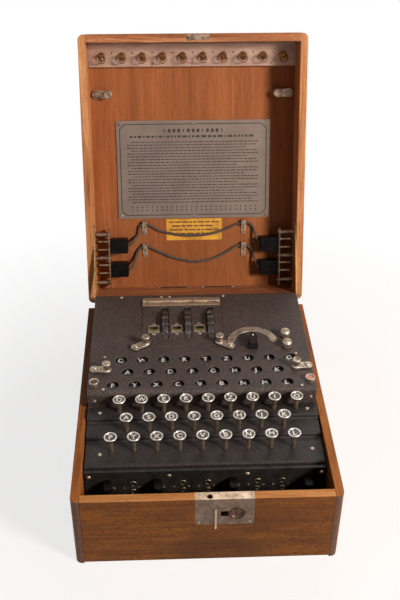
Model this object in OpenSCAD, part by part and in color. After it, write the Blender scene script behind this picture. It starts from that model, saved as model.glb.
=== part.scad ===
// Rotor cipher machine in an oak carrying case, lid open.
// Millimetres. Origin: middle of the underside of the case. X to the right, Y to the rear, Z up.
// Everything in the lid is drawn with the lid closed, then swung open about the rear hinge by lid_pose().

/* [Case] */
// Outer width of the oak case
case_w = 280; // [270:1:300]
// Outer depth of the oak case, front to rear
case_d = 340; // [335:1:360]
// Height of the lower case, where it meets the lid
base_h = 94.4; // [92:0.2:100]
// Thickness of the two side walls
wall_t = 9; // [8.5:0.5:9.5]
// Thickness of the front and rear walls and of the front flap
end_t = 10; // [9:0.5:11]
// Thickness of the bottom board
floor_t = 9; // [7:0.5:10]
// Radius of the upright corners
corner_r = 7; // [3:0.5:8]

/* [Lid] */
// Depth of the lid, rim to outer top
lid_h = 54; // [54:0.5:70]
// Thickness of the lid's top board
lid_panel_t = 9; // [7:0.5:9]
// How far the lid leans open from closed, in degrees
lid_open = 109.1; // [100:0.1:112]
// Radius of the hinge barrels on the case
hinge_r = 2.6; // [2.2:0.1:2.8]
// Length of each lid hinge
hinge_l = 50; // [36:1:60]
// Distance of each lid hinge from the middle
hinge_x = 80; // [60:1:95]

/* [Front flap] */
// Distance of each flap hinge from the middle
flap_hinge_x = 85; // [60:1:100]
// Length of each flap hinge
flap_hinge_l = 40; // [30:1:50]
// Middle of the lock plate, measured from the middle of the case
lock_x = 17.6; // [10:0.2:25]
// Width of the lock plate
lock_w = 61; // [58:1:66]
// Height of the lock plate
lock_h = 38; // [36:1:44]

/* [Decks] */
// Sheet thickness of the decks
deck_t = 1.6; // [1.2:0.1:2]
// Top of the lamp deck above the table
deck_z = 117; // [115:0.5:118]
// Bend radius along the front edge of the lamp deck
deck_bend = 6; // [3:0.5:8]
// Diameter of a lamp window
window_d = 14; // [12:0.5:16]
// Height of the first key terrace
key_deck_z = 97; // [95:0.5:99]
// Drop from one key terrace to the next
terrace_drop = 5.5; // [4.5:0.5:6]

/* [Keyboard] */
// Spacing of keys and lamp windows along a row
letter_pitch = 24.8; // [24:0.1:25.5]
// Diameter of a key's ring
key_d = 14.6; // [14:0.2:16.5]
// Diameter of a key's stem
stem_d = 5; // [4:0.2:6]
// How far a key travels
key_travel = 6; // [4:0.5:7]
// Top of the rear row of keys above the table
key_top_z = 116.4; // [114:0.2:117]

/* [Rotors] */
// Radius over the serrated thumb wheel of a rotor
thumb_r = 50; // [48:0.5:50.5]
// Radius of the number ring of a rotor
ring_r = 39.5; // [36:0.5:39.5]
// Radius of the spindle
spindle_r = 4; // [3:0.25:6]
// Spacing of the three rotors
rotor_pitch = 27.9; // [27.5:0.1:28.4]
// Height of the spindle above the table
spindle_z = 75; // [73:0.5:75]

/* [Plugboard] */
// Top of the plugboard
board_top = 82; // [80:0.5:84]
// Spacing of the sockets along a row
socket_pitch = 26.85; // [26:0.05:27.5]
// Distance between the two holes of one socket
socket_pair = 11; // [10:0.2:11]
// Hole radius of the upper, thick socket
socket_r = 3; // [2.6:0.1:3.2]
// Hole radius of the lower, thin socket
thin_socket_r = 2.4; // [2:0.1:2.6]

/* [Lid fittings] */
// Width of the instruction plate
sign_w = 199; // [180:1:210]
// Tilt of the spare bulbs in their bar, in degrees
bulb_tilt = 20; // [0:1:25]
// Diameter of the patch cords
cord_d = 3.4; // [3:0.1:3.8]

/* [Hidden] */
$fn = 48;
// Clearance of a running fit on the radius, and of parts that lie beside each other
fit = 0.05;
gap = 0.3;
// Joint line between two glued or screwed pieces that one node holds
seam = 0.05;
in_w = case_w - 2 * wall_t;          // clear width between the side walls
front_y = -case_d / 2;
rear_y = case_d / 2;
// Places across and along the case keep their share of its width and depth
wide = case_w / 280;
deep = case_d / 340;
// Lid stays, in the gap between the decks and the side walls
stay_t = 1;
stay_x = in_w / 2 - gap - stay_t;
deck_half = stay_x - gap;
deck_w = 2 * deck_half;
deck_front = -30 * deep;
deck_rear = rear_y - end_t - 1.5;
board_y = -118 * deep;
rim_z = base_h;                      // rim of the lid when closed
base_top = base_h - gap;
axis_z = base_h - gap / 2;           // lid hinge axis
panel_z = rim_z + lid_h - lid_panel_t;   // inner face of the lid's top board, lid closed
batten_top = 74;
batten_h = 8;
batten_w = 12;
// Front flap
flap_w = in_w - 2 * gap;
flap_bottom = 2;
flap_inset = 4.4;
flap_axis = [front_y + flap_inset, 6];
flap_knuckle_r = 2.4;
flap_leaf_t = 2.4;
flap_screwed_t = 1.2;                // upright leaf let into the flap, and its top
flap_screwed_top = 32;
flap_swing_r = norm([end_t - flap_inset, flap_axis[1] - flap_bottom]);
floor_front = flap_axis[0] + flap_swing_r + 0.5;
flap_notch_top = flap_axis[1] + flap_knuckle_r + 0.8;
// Lock, on the flap
lock_plate_t = 1.5;
lock_z = base_top - lock_h / 2;
dish = [lock_x + 12.5, lock_z - 2.8];
dish_r = 8;
lock_travel = 5;
strike_x = lock_x - 15.6;
strike_y = front_y + 4.2;
strike_r = 2.6;
// Keys and lamps: three staggered rows
rows = ["QWERTZUIO", "ASDFGHJK", "PYXCVBNML"];
letter_step = letter_pitch * wide;
row_x = [-93, -84.8, -101.2] * wide;
key_y = [-40, -64.5, -90] * deep;
lamp_y = [26.5, 4.8, -17.5] * deep;
key_drop = 4.25;
stem_hole = 1;
terrace_front = [-51, -75.5] * deep;
deck_foot = board_y + 5;
key_bed_z = 58;
key_bed_t = 2.5;
film_z = 112.4;
film_t = 0.8;
mask_t = 3;
lamp_board_z = 94;
// Rotor cover and its opening
cover_x = -19.8 * wide;
cover_w = 98 * wide;
cover_front = 49.5 * deep;
cover_axis = [140 * deep, deck_z + 1.8];
cover_t = 1.8;
cover_notch = 12;
cover_barrel_r = 1.6;
cover_gap = 0.5;
cover_window = [10.6, 10.6];
cover_window_y = 83.9 * deep;
window_rim = 1.6;
window_tab = [3.6, 2.4];             // middle of a frame's screw tab off the window, and its radius
rotor_x = [cover_x - 34.8, cover_x - 34.8 + rotor_pitch, cover_x - 34.8 + 2 * rotor_pitch];
rotor_y = 97 * deep;
thumb_offset = 13.9;
thumb_w = 7.6;
slot_w = 9.2;
slot_l = 62;
rotor_left_edge = -8;
rotor_w = rotor_pitch - 0.4;
wheel_gap = 0.4;
side_plate_t = 3.5;
reflector_w = 13;
entry_w = 8;
chassis_base = 2;
spindle_play = 0.02;
// Switch, terminals and clamps on the lamp deck
switch_pos = [64 * wide, 55 * deep];
scale_r = 25.9;
scale_w = 8.6;
scale_end = 10;
terminal_pos = [[104 * wide, 65.5 * deep], [104 * wide, 45.5 * deep]];
terminal_r = 5.9;
terminal_h = 8.4;
// Clamps, left one first: x and y of the pivot, then of the knob
clamp_rear = [for (s = [-1, 1]) [cover_x + s * (cover_w / 2 + 7.4), cover_front - 2.1,
    cover_x + s * (cover_w / 2 - 5), cover_front + 5.3]];
clamp_front = [[6.9 - deck_half, 8.5 * deep, 21.1 - deck_half, 6.8 * deep],
    [deck_half - 5.7, 8.5 * deep, deck_half - 19.1, 6.8 * deep]];
clamp_pivot_r = 2;
clamp_arm_t = 2;
clamp_arm_w = 10;
clamp_lift = 1.3;
clamp_knob_r = 4.7;
clamp_knob_h = 12;
// Sealed posts
post_x = [7.4 - deck_half, deck_half - 5.9];
post_y = -15.6 * deep;
post_r = 5.5;
post_rim = 1.3;
post_h = 5;
deck_screws = [[-96, 152.5], [-45, 152.5], [-34.6, 152.5], [34.2, 152.5], [-112.2, 33.2], [-111.6, -24],
    [113.5, 33.2], [113, -24]];
key_screws = [[-115.4, -41.2], [-113.6, -95], [118, -41.2], [117.5, -93.5]];
skirt_screws = [[8.4 - deck_half, 105], [deck_half - 5.9, 105]];
board_screw_x = [4.4 - deck_half, -39 * wide, 45 * wide, deck_half - 3.9];
board_screw_z = board_top - 7.3;
// Sockets of the plugboard
socket_step = socket_pitch * wide;
socket_x = [-104.6, -95.6, -113.6] * wide;
socket_count = [9, 8, 9];
socket_z = [58.1, 38.1, 18.1];
board_t = 4.8;
plugged = [0, 2, 5, 8];
plug_w = 8;
plug_h = 27;
plug_d = 15;
// Places in the lid: x, then distance from the rear face of the closed lid, then depth off the panel
bar_v = [case_d - 40, case_d - 11];
bar_t = 8;
bulb_v = case_d - 26;
bulb_pitch = (in_w - 33.4) / 9;
bulb_base_r = 4.8;
bulb_glass_r = 5.6;
bar_screw_pitch = 50;
bar_screw_v = case_d - 36.5;
sign_h = case_d - 212;
sign_v = 104.5 + sign_h / 2;
sign_t = 1.2;
sign_screw_inset = 4;
catch_v = case_d - 74;
catch_pivot_x = in_w / 2 - 8.5;
catch_len = 14.5;
clip_v = [97.5, 67.5];
clip_w = 6;
rack_x = in_w / 2 - 19;
rack_t = 1.6;
rack_v = [14, 92];
rack_post_v = [86, 54, 20.5];
rack_post_r = 3.2;
rack_off = 12;
patch_plug_v = [71, 39];
patch_plug = [23, 19, 13];
plug_face = rack_x - 1 - patch_plug[0];   // where a cord leaves its plug
clip_x = 0.75 * plug_face;
pin_pitch = 11;
pin_r = [2, 1.6];
pin_fit = 0.1;
stay_w = 7;
stay_pivot = [rear_y - 100, rim_z + 8];   // on the lid, lid closed
stay_foot = [rear_y - 24, 84];            // on the side wall, lid open
stay_pin_r = 2;
// Cord routes: round numbers chosen by hand. Lid cords: x, distance from the rear face, depth below the rim.
// They are drawn for plugs 88 off the middle, the board's cord for plugs 54 apart, and stretched across to fit.
lid_cord_half = 88;
board_cord_w = 54;
cord_sides = 8;
upper_cord = [[-88, 71, 33], [-84, 72, 34], [-80.5, 76, 37], [-77.5, 80, 41], [-75.5, 82, 42.8], [-74, 87, 42.8],
    [-73, 92, 42.8], [-71, 96, 42.8], [-67, 97.5, 42.8], [-62, 97, 42.8], [-56, 94, 42.8], [-45, 88, 42.8], [-30, 84, 42.8],
    [-14, 81.5, 42.8], [2, 81, 42.8], [16, 82, 42.8], [30, 85, 42.8], [44, 90, 42.8], [56, 95, 42.8],
    [66, 97.5, 42.8], [74, 96, 42.8], [79, 90, 42.2], [81.5, 82, 39], [84, 74, 35], [88, 71, 33]];
lower_cord = [[-88, 39, 33], [-84, 40, 34], [-81, 45, 37], [-79, 52, 41], [-76, 60, 42.8], [-71, 66, 42.8],
    [-65, 67.5, 42.8], [-58, 65, 42.8], [-46, 59, 42.8], [-30, 52, 42.8], [-14, 47.5, 42.8], [2, 45, 42.8],
    [16, 46.5, 42.8], [30, 51, 42.8], [44, 58, 42.8], [56, 65, 42.8], [66, 67.5, 42.8], [74, 64, 42.8],
    [79, 56, 42], [81.5, 47, 38], [84, 40, 34.5], [88, 39, 33]];
board_cord = [[0, 0, 44], [0, 0, 36], [0.5, -2, 28], [4, -6, 20.5], [12, -11, 14.5], [22, -14, 12.2], [32, -14, 12.2],
    [42, -11, 14.5], [50, -6, 20.5], [53.5, -2, 28], [54, 0, 36], [54, 0, 44]];

// ---- helpers -------------------------------------------------------------------------------------------------

// Rectangle with round corners, centred
module rounded_rect(w, d, r) {
    square([w - 2 * r, d], center = true);
    square([w, d - 2 * r], center = true);
    for (x = [-1, 1], y = [-1, 1]) translate([x * (w / 2 - r), y * (d / 2 - r)]) circle(r);
}

// Box between two corners
module block(a, b) {
    translate(a) cube(b - a);
}

// Cylinder along X, from x = a to x = b
module rod_x(a, b, y, z, r) {
    translate([a, y, z]) rotate([0, 90, 0]) cylinder(r = r, h = b - a);
}

// Cylinder along Y, from y = a to y = b
module rod_y(a, b, x, z, r) {
    translate([x, b, z]) rotate([90, 0, 0]) cylinder(r = r, h = b - a);
}

// A profile drawn in Y and Z, run along X across a width
module along_x(w, x = 0) {
    translate([x - w / 2, 0, 0]) rotate([90, 0, 90]) linear_extrude(height = w) children();
}

// Points on an arc, for the bends of the sheet metal
function arc(c, r, a, b, n = 6) =
    [for (i = [0:n]) c + r * [cos(a + (b - a) * i / n), sin(a + (b - a) * i / n)]];

// Swings what is drawn in the closed lid to where the lid rests open
module lid_pose() {
    translate([0, rear_y, axis_z]) rotate([-lid_open, 0, 0]) translate([0, -rear_y, -axis_z]) children();
}

// A place in the closed lid, from x, distance from its rear face and depth below its rim
function in_lid(x, v, w) = [x, rear_y - v, rim_z + w];
function swing(p) = let (y = p[1] - rear_y, z = p[2] - axis_z)
    [p[0], rear_y + y * cos(lid_open) + z * sin(lid_open), axis_z - y * sin(lid_open) + z * cos(lid_open)];

// Round-headed or countersunk slotted screw head on a surface facing +Z
module screw_head(r = 2.2, h = 0.9, slot = 0.5) {
    difference() {
        cylinder(r1 = r, r2 = r * 0.75, h = h, $fn = 24);
        translate([-r, -slot / 2, h - 0.4]) cube([2 * r, slot, 1]);
    }
}

// Round-headed screw without its slot, as a slice of a ball
module round_head(r, h) {
    ball = (r * r + h * h) / (2 * h);
    intersection() {
        translate([0, 0, h - ball]) sphere(r = ball);
        cylinder(r = r, h = h);
    }
}

// A tube swept along a route, its ends square to it, on sides that keep one twist
function unit(v) = v / norm(v);
function along(p, i) = unit(p[min(i + 1, len(p) - 1)] - p[max(i - 1, 0)]);
module cord(p, d, up = [0, 0, 1]) {
    n = len(p);
    rings = [for (i = [0:n - 1]) let (t = along(p, i), a = unit(cross(t, up)), b = cross(t, a))
        for (k = [0:cord_sides - 1]) p[i] + d / 2 * (a * cos(360 * k / cord_sides) + b * sin(360 * k / cord_sides))];
    sides = [for (i = [0:n - 2], k = [0:cord_sides - 1]) let (q = (k + 1) % cord_sides)
        each [[i * cord_sides + k, (i + 1) * cord_sides + k, (i + 1) * cord_sides + q],
              [i * cord_sides + k, (i + 1) * cord_sides + q, i * cord_sides + q]]];
    start = [for (k = [1:cord_sides - 2]) [0, k, k + 1]];
    end = [for (k = [1:cord_sides - 2]) [(n - 1) * cord_sides, (n - 1) * cord_sides + k + 1, (n - 1) * cord_sides + k]];
    polyhedron(points = rings, faces = concat(sides, start, end));
}

// ---- oak case ------------------------------------------------------------------------------------------------

// Two side walls, rear wall and bottom board, with the battens that carry the decks
module oak_case() {
    rear_chamfer = [8, 5];
    color("peru") {
        for (s = [-1, 1]) difference() {
            linear_extrude(height = base_top) intersection() {
                rounded_rect(case_w, case_d, corner_r);
                translate([s * (case_w - wall_t) / 2, 0]) square([wall_t, case_d], center = true);
            }
            along_x(2 * case_w) polygon([[rear_y + 1, base_top - rear_chamfer[1] - 1],
                [rear_y + 1, base_top + 1], [rear_y - rear_chamfer[0] - 1, base_top + 1]]);
            rod_x(s > 0 ? in_w / 2 - 1 : -in_w / 2 - 4, s > 0 ? in_w / 2 + 4 : -in_w / 2 + 1,
                stay_foot[0], stay_foot[1], stay_pin_r);
        }
        difference() {
            block([seam - in_w / 2, rear_y - end_t, 0], [in_w / 2 - seam, rear_y, base_top]);
            rod_x(-case_w, case_w, rear_y, axis_z, hinge_r + gap);
        }
        difference() {
            block([seam - in_w / 2, floor_front, 0], [in_w / 2 - seam, rear_y - end_t - seam, floor_t]);
            for (s = [-1, 1]) block([s * flap_hinge_x - flap_hinge_l / 4, floor_front - 1, flap_axis[1] - flap_leaf_t / 2 - 0.1],
                [s * flap_hinge_x + flap_hinge_l / 4, floor_front + 20, flap_axis[1] + flap_leaf_t / 2 + 0.1]);
        }
        for (s = [-1, 1]) block([s > 0 ? in_w / 2 - batten_w : seam - in_w / 2, deck_foot, batten_top - batten_h],
            [s > 0 ? in_w / 2 - seam : batten_w - in_w / 2, rear_y - end_t - seam, batten_top]);
    }
}

// Fixed leaf of a lid hinge: leaf on the rear face, middle knuckle and the pin through all three
module lid_hinge_leaf(x, up) {
    leaf_t = 1.4;
    leaf_h = 22;
    knuckle_l = hinge_l / 3 - 0.2;
    off = hinge_r + 0.2;
    spans = up ? [-hinge_l / 2, hinge_l / 2 - knuckle_l] : [-knuckle_l / 2];
    difference() {
        union() {
            translate([x - hinge_l / 2, rear_y, up ? axis_z + off : axis_z - off - leaf_h])
                cube([hinge_l, leaf_t, leaf_h]);
            for (a = spans) {
                translate([x + a, rear_y, up ? axis_z : axis_z - off - 1]) cube([knuckle_l, leaf_t, off + 1]);
                rod_x(x + a, x + a + knuckle_l, rear_y, axis_z, hinge_r);
            }
        }
        rod_x(x - hinge_l, x + hinge_l, rear_y, axis_z, hinge_r / 2 + (up ? fit : 0));
    }
    if (!up) rod_x(x - hinge_l / 2, x + hinge_l / 2, rear_y, axis_z, hinge_r / 2);
}

module flap_hinge_leaf(x, fixed) {
    knuckle_l = fixed ? flap_hinge_l / 2 - 0.4 : flap_hinge_l / 4 - 0.2;
    spans = fixed ? [-knuckle_l / 2] : [-flap_hinge_l / 2, flap_hinge_l / 2 - knuckle_l];
    difference() {
        for (a = spans) {
            rod_x(x + a, x + a + knuckle_l, flap_axis[0], flap_axis[1], flap_knuckle_r);
            if (fixed) block([x + a, flap_axis[0], flap_axis[1] - flap_leaf_t / 2],
                [x + a + knuckle_l, floor_front + 19, flap_axis[1] + flap_leaf_t / 2]);
            else block([x + a, flap_axis[0], flap_axis[1] + 0.2],
                [x + a + knuckle_l, front_y + end_t, flap_axis[1] + flap_knuckle_r]);
            if (!fixed) block([x + a, front_y + end_t - flap_screwed_t, flap_axis[1] + 0.2],
                [x + a + knuckle_l, front_y + end_t, flap_screwed_top]);
        }
        rod_x(x - flap_hinge_l, x + flap_hinge_l, flap_axis[0], flap_axis[1], flap_knuckle_r / 2 + (fixed ? 0 : fit));
    }
    if (fixed) rod_x(x - flap_hinge_l / 2, x + flap_hinge_l / 2, flap_axis[0], flap_axis[1], flap_knuckle_r / 2);
}

// Screwed post that a swivel clamp turns on
module clamp_post(x, y, z) {
    translate([x, y, z]) {
        cylinder(r = clamp_pivot_r, h = clamp_lift + clamp_arm_t + 0.8);
        translate([0, 0, clamp_lift + clamp_arm_t + 0.4]) screw_head(3.6, 1.4, 0.9);
    }
}

// Metal on the case: hinges, cover hinge, switch scale, terminal studs, clamp posts, sealed posts and screws
module case_fittings() {
    color([0.68, 0.62, 0.52]) {
        for (s = [-1, 1]) {
            lid_hinge_leaf(s * hinge_x, false);
            flap_hinge_leaf(s * flap_hinge_x, true);
            // stud that the foot of a stay hooks over
            rod_x(s > 0 ? stay_x : -in_w / 2 - 4, s > 0 ? in_w / 2 + 4 : -stay_x,
                stay_foot[0], stay_foot[1], stay_pin_r - 0.02);
        }
        for (k = [0, 1]) {
            clamp_post(clamp_front[k][0], clamp_front[k][1], deck_z);
            clamp_post(clamp_rear[k][0], clamp_rear[k][1], deck_z);
            // sealed post: a ring with a sunk filling
            translate([post_x[k], post_y, deck_z]) difference() {
                cylinder(r = post_r, h = post_h);
                translate([0, 0, post_h - 1]) cylinder(r = post_r - post_rim, h = 2);
            }
            translate([skirt_screws[k][0], deck_front, skirt_screws[k][1]]) rotate([90, 0, 0]) screw_head(1.6, 0.7);
        }
        // rear leaf and alternate knuckles of the cover's long hinge
        block([cover_x - cover_w / 2, cover_axis[0] + cover_barrel_r + 0.2, deck_z],
            [cover_x + cover_w / 2, cover_axis[0] + 8.4, deck_z + 1.2]);
        for (i = [0:2:6]) cover_knuckle(i, 0, 3, deck_z + 0.2, deck_z + 1.2);
        // half-round switch scale
        translate([switch_pos[0], switch_pos[1], deck_z]) linear_extrude(height = 0.8) {
            difference() {
                circle(scale_r + scale_w / 2);
                circle(scale_r - scale_w / 2);
                polygon([[0, 0], [60, 60 * tan(scale_end)], [60, -60], [-60, -60], [-60, 60 * tan(scale_end)]]);
            }
            // round ends, a touch narrower than the band
            for (a = [scale_end, 180 - scale_end]) rotate(a) translate([scale_r, 0]) circle(scale_w / 2 - 0.1);
        }
        // switch stud, terminal studs with their nuts
        translate([switch_pos[0], switch_pos[1], deck_z]) cylinder(r = 2.5, h = 6);
        for (p = terminal_pos) translate([p[0], p[1], deck_z]) {
            cylinder(r = 2, h = terminal_h + 2.2);
            cylinder(r = 4, h = 1.4);
            translate([0, 0, 1.4 + seam]) terminal_nut();
        }
        for (p = deck_screws) translate([p[0] * wide, p[1] * deep, deck_z]) screw_head(1.8, 0.7);
        for (p = key_screws) translate([p[0] * wide, p[1] * deep, terrace_z(p[1] * deep)]) screw_head(2.2, 0.9);
        for (x = board_screw_x) translate([x, board_y, board_screw_z]) rotate([90, 0, 0]) round_head(2.8, 1.7);
    }
}

// Knurled nut of a terminal, slotted on top
module terminal_nut() {
    difference() {
        rotate_extrude() polygon([[2 + seam, 0], [terminal_r - 0.6, 0], [terminal_r, 0.6],
            [terminal_r, terminal_h - 2.2], [terminal_r - 1.4, terminal_h], [2 + seam, terminal_h]]);
        for (i = [0:17]) rotate(i * 20) translate([terminal_r + 0.25, 0, -1]) cylinder(r = 0.5, h = 10, $fn = 16);
        translate([-terminal_r - 1, -0.7, terminal_h - 1.8]) cube([2 * terminal_r + 2, 1.4, 3]);
    }
}

// ---- decks ---------------------------------------------------------------------------------------------------

// Outline of the rotor cover: a rectangle whose two front corners are cut out for the clamps
module cover_outline(grow = 0) {
    half = cover_w / 2 + grow;
    tongue = cover_w / 2 - cover_notch + grow;
    front = cover_front - grow;
    shoulder = cover_front + cover_notch - grow;
    rear = cover_axis[0] - cover_barrel_r - 0.4 + grow;
    translate([cover_x, 0]) polygon([[-tongue, front], [tongue, front], [tongue, shoulder], [half, shoulder],
        [half, rear], [-half, rear], [-half, shoulder], [-tongue, shoulder]]);
}

// Lamp deck: one folded sheet, its section the same from side to side
function lamp_profile(t) = concat([[deck_front + t, batten_top - (t > 0 ? 1 : 0)]],
    arc([deck_front + deck_bend, deck_z - deck_bend], deck_bend - t, 180, 90),
    arc([deck_rear - 3, deck_z - 3], 3 - t, 90, 0, 4), [[deck_rear - t, batten_top - (t > 0 ? 1 : 0)]]);

module lamp_windows(h, z) {
    for (r = [0:2], i = [0:len(rows[r]) - 1])
        translate([row_x[r] + i * letter_step, lamp_y[r], z]) cylinder(d = window_d, h = h);
}

module lamp_deck() {
    color([0.22, 0.21, 0.21]) difference() {
        along_x(deck_w) polygon(lamp_profile(0));
        along_x(deck_w - 2 * deck_t) polygon(lamp_profile(deck_t));
        lamp_windows(3 * deck_t, deck_z - 2 * deck_t);
        translate([0, 0, deck_z - 2 * deck_t]) linear_extrude(height = 4 * deck_t) cover_outline(cover_gap);
    }
}

// Key deck: three terraces that step down to the front
function terrace_z(y) = key_deck_z - (y < terrace_front[0] ? terrace_drop : 0) - (y < terrace_front[1] ? terrace_drop : 0);
step_r = terrace_drop / 2;
function terrace_step(y, z, t) = concat(arc([y + step_r, z - step_r], step_r - t, 90, 180, 4),
    arc([y - step_r, z - step_r], step_r + t, 0, -90, 4));
function key_profile(t) = concat([[deck_foot + t, batten_top - (t > 0 ? 1 : 0)]],
    arc([deck_foot + 3, key_deck_z - 2 * terrace_drop - 3], 3 - t, 180, 90, 4),
    [for (y = [terrace_front[1]]) each reverse(terrace_step(y, key_deck_z - terrace_drop, t))],
    [for (y = [terrace_front[0]]) each reverse(terrace_step(y, key_deck_z, t))],
    [[deck_front - 2.2 - t, key_deck_z - t], [deck_front - 2.2 - t, batten_top - (t > 0 ? 1 : 0)]]);
function reverse(a) = [for (i = [len(a) - 1:-1:0]) a[i]];

module key_places() {
    for (r = [0:2], i = [0:len(rows[r]) - 1]) translate([row_x[r] + i * letter_step, key_y[r], 0]) children();
}

module key_deck() {
    color([0.2, 0.19, 0.2]) difference() {
        along_x(deck_w) polygon(key_profile(0));
        along_x(deck_w - 2 * deck_t) polygon(key_profile(deck_t));
        key_places() translate([0, 0, batten_top]) cylinder(d = stem_d + stem_hole, h = 40);
    }
}

// Letter film on its masking plate, with the lamp board and the 26 lamps under it
module lamp_panel() {
    half_w = deck_w / 2 - deck_t - 1;
    corner = [-half_w, deck_front + deck_t + 1.2];
    far = [half_w, lamp_y[0] + window_d / 2 + 4.3];
    rail_w = 3;
    board_top_z = lamp_board_z + 3;
    color([0.12, 0.11, 0.11]) {
        block([corner[0], corner[1], film_z], [far[0], far[1], film_z + film_t]);
        difference() {
            block([corner[0], corner[1], film_z - mask_t], [far[0], far[1], film_z - seam]);
            lamp_windows(mask_t + 2, film_z - mask_t - 1);
        }
        // rails that hold the film down against the deck
        for (x = [corner[0], far[0] - rail_w])
            block([x, deck_front + deck_bend + 0.5, film_z + film_t + seam], [x + rail_w, far[1], deck_z - deck_t]);
        block([corner[0], corner[1], lamp_board_z], [far[0], far[1], board_top_z]);
        for (x = [-1, 1], y = [-1, 1]) translate([x * (deck_half - 13.4), lamp_y[1] + y * 28 * deep, board_top_z + seam])
            cylinder(r = 3, h = film_z - mask_t - board_top_z - 2 * seam);
    }
    color("wheat") for (r = [0:2], i = [0:len(rows[r]) - 1])
        translate([row_x[r] + i * letter_step, lamp_y[r], board_top_z + seam])
            rotate_extrude($fn = 24) polygon(concat([[0, 0], [4.7, 0], [4.7, 5]], arc([0, 7], 4.7, -25, 90, 5)));
}

// ---- keyboard ------------------------------------------------------------------------------------------------

// One key: nickel ring round a dished disc, on a turned stem that runs in the key bed
module key(r, i) {
    top = key_top_z - r * key_drop;
    color([0.75, 0.72, 0.68]) translate([row_x[r] + i * letter_step, key_y[r], 0]) {
        rotate_extrude($fn = 32) polygon(concat([[0, top - 5.4], [key_d / 2 - 1.8, top - 4.6],
            [key_d / 2 - 0.3, top - 3]], arc([key_d / 2 - 1, top - 1], 1, -10, 170, 6), [[key_d / 2 - 2, top - 1.5], [0, top - 1.5]]));
        translate([0, 0, key_bed_z - 8]) cylinder(d = stem_d, h = top - 5 - key_bed_z + 8, $fn = 32);
    }
}

// ---- chassis and rotors --------------------------------------------------------------------------------------

// Frame under the decks: base plate, key bed, rotor bearers with spindle and fixed wheels, battery box
module chassis() {
    half_w = in_w / 2 - 13;
    bed = [2 * half_w - 10, key_y[0] - key_y[2] + 24];
    bed_y = (key_y[0] + key_y[2]) / 2;
    base_front = key_y[2] - 14;
    base_z = floor_t + chassis_base;
    left = rotor_x[0] + rotor_left_edge - wheel_gap;
    right = rotor_x[2] + rotor_left_edge + rotor_w + wheel_gap;
    bearer_x = [left - reflector_w - side_plate_t - wheel_gap, right + entry_w + wheel_gap];
    color([0.55, 0.54, 0.52]) {
        block([-half_w, base_front, floor_t], [half_w, rear_y - end_t - 6, base_z]);
        // posts of the key bed and of the lamp board
        for (x = [-1, 1], y = [-1, 1]) {
            translate([x * (half_w - 18), bed_y + y * (bed[1] / 2 - 4), base_z + seam])
                cylinder(r = 4, h = key_bed_z - base_z - 2 * seam);
            translate([x * (half_w - 3), lamp_y[1] + y * 24 * deep, base_z + seam])
                cylinder(r = 3, h = lamp_board_z - base_z - seam);
        }
        difference() {
            translate([-bed[0] / 2, bed_y - bed[1] / 2, key_bed_z]) cube([bed[0], bed[1], key_bed_t]);
            key_places() translate([0, 0, key_bed_z - 1]) cylinder(d = stem_d + 2 * fit, h = key_bed_t + 2);
        }
        for (x = bearer_x) difference() {
            block([x, rotor_y - 34, base_z + seam], [x + side_plate_t, rotor_y + 34, spindle_z + 14]);
            rod_x(x - 1, x + side_plate_t + 1, rotor_y, spindle_z, spindle_r);
        }
    }
    color([0.7, 0.7, 0.68])
        rod_x(bearer_x[0] - 2, bearer_x[1] + side_plate_t + 2, rotor_y, spindle_z, spindle_r - spindle_play);
    // fixed reflector on the left and entry wheel on the right, each screwed to its bearer
    color([0.2, 0.18, 0.17]) {
        fixed_wheel(left - reflector_w, left);
        fixed_wheel(right, right + entry_w);
    }
    color("burlywood") battery_box([half_w - 58, 84 * deep, base_z + seam], [half_w, rear_y - 20, 84]);
}

module fixed_wheel(a, b) {
    difference() {
        rod_x(a, b, rotor_y, spindle_z, ring_r - 0.5);
        rod_x(a - 1, b + 1, rotor_y, spindle_z, spindle_r);
    }
}

module battery_box(a, b) {
    wall = 3;
    difference() {
        block(a, b);
        block([a[0] + wall, a[1] + wall, a[2] + wall], [b[0] - wall, b[1] - wall, b[2] + 1]);
    }
}

// A rotor: drum with number ring, flange with 26 flat contacts, and the serrated thumb wheel that shows above
module rotor(k) {
    x0 = rotor_x[k] + rotor_left_edge;
    ring = [rotor_x[k] - 6.5, rotor_x[k] + 6.5];
    thumb = [rotor_x[k] + thumb_offset - thumb_w / 2, rotor_x[k] + thumb_offset + thumb_w / 2];
    color([0.4, 0.38, 0.36]) translate([0, rotor_y, spindle_z]) rotate([0, 90, 0]) difference() {
        rotate_extrude($fn = 96) polygon([[spindle_r + fit, x0], [30, x0], [30, x0 + 1], [34, x0 + 1], [34, ring[0]],
            [ring_r - 0.8, ring[0]], [ring_r, ring[0] + 0.8], [ring_r, ring[1] - 0.8], [ring_r - 0.8, ring[1]],
            [33, ring[1]], [33, thumb[0]], [thumb_r - 1, thumb[0]], [thumb_r, thumb[0] + 1],
            [thumb_r, thumb[1] - 1], [thumb_r - 1, thumb[1]], [32, thumb[1]], [32, x0 + rotor_w],
            [spindle_r + fit, x0 + rotor_w]]);
        for (i = [0:25]) rotate(i * 360 / 26) translate([thumb_r + 1.2, 0, thumb[0] - 1])
            cylinder(r = 2.7, h = thumb_w + 2, $fn = 24);
    }
}

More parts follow.
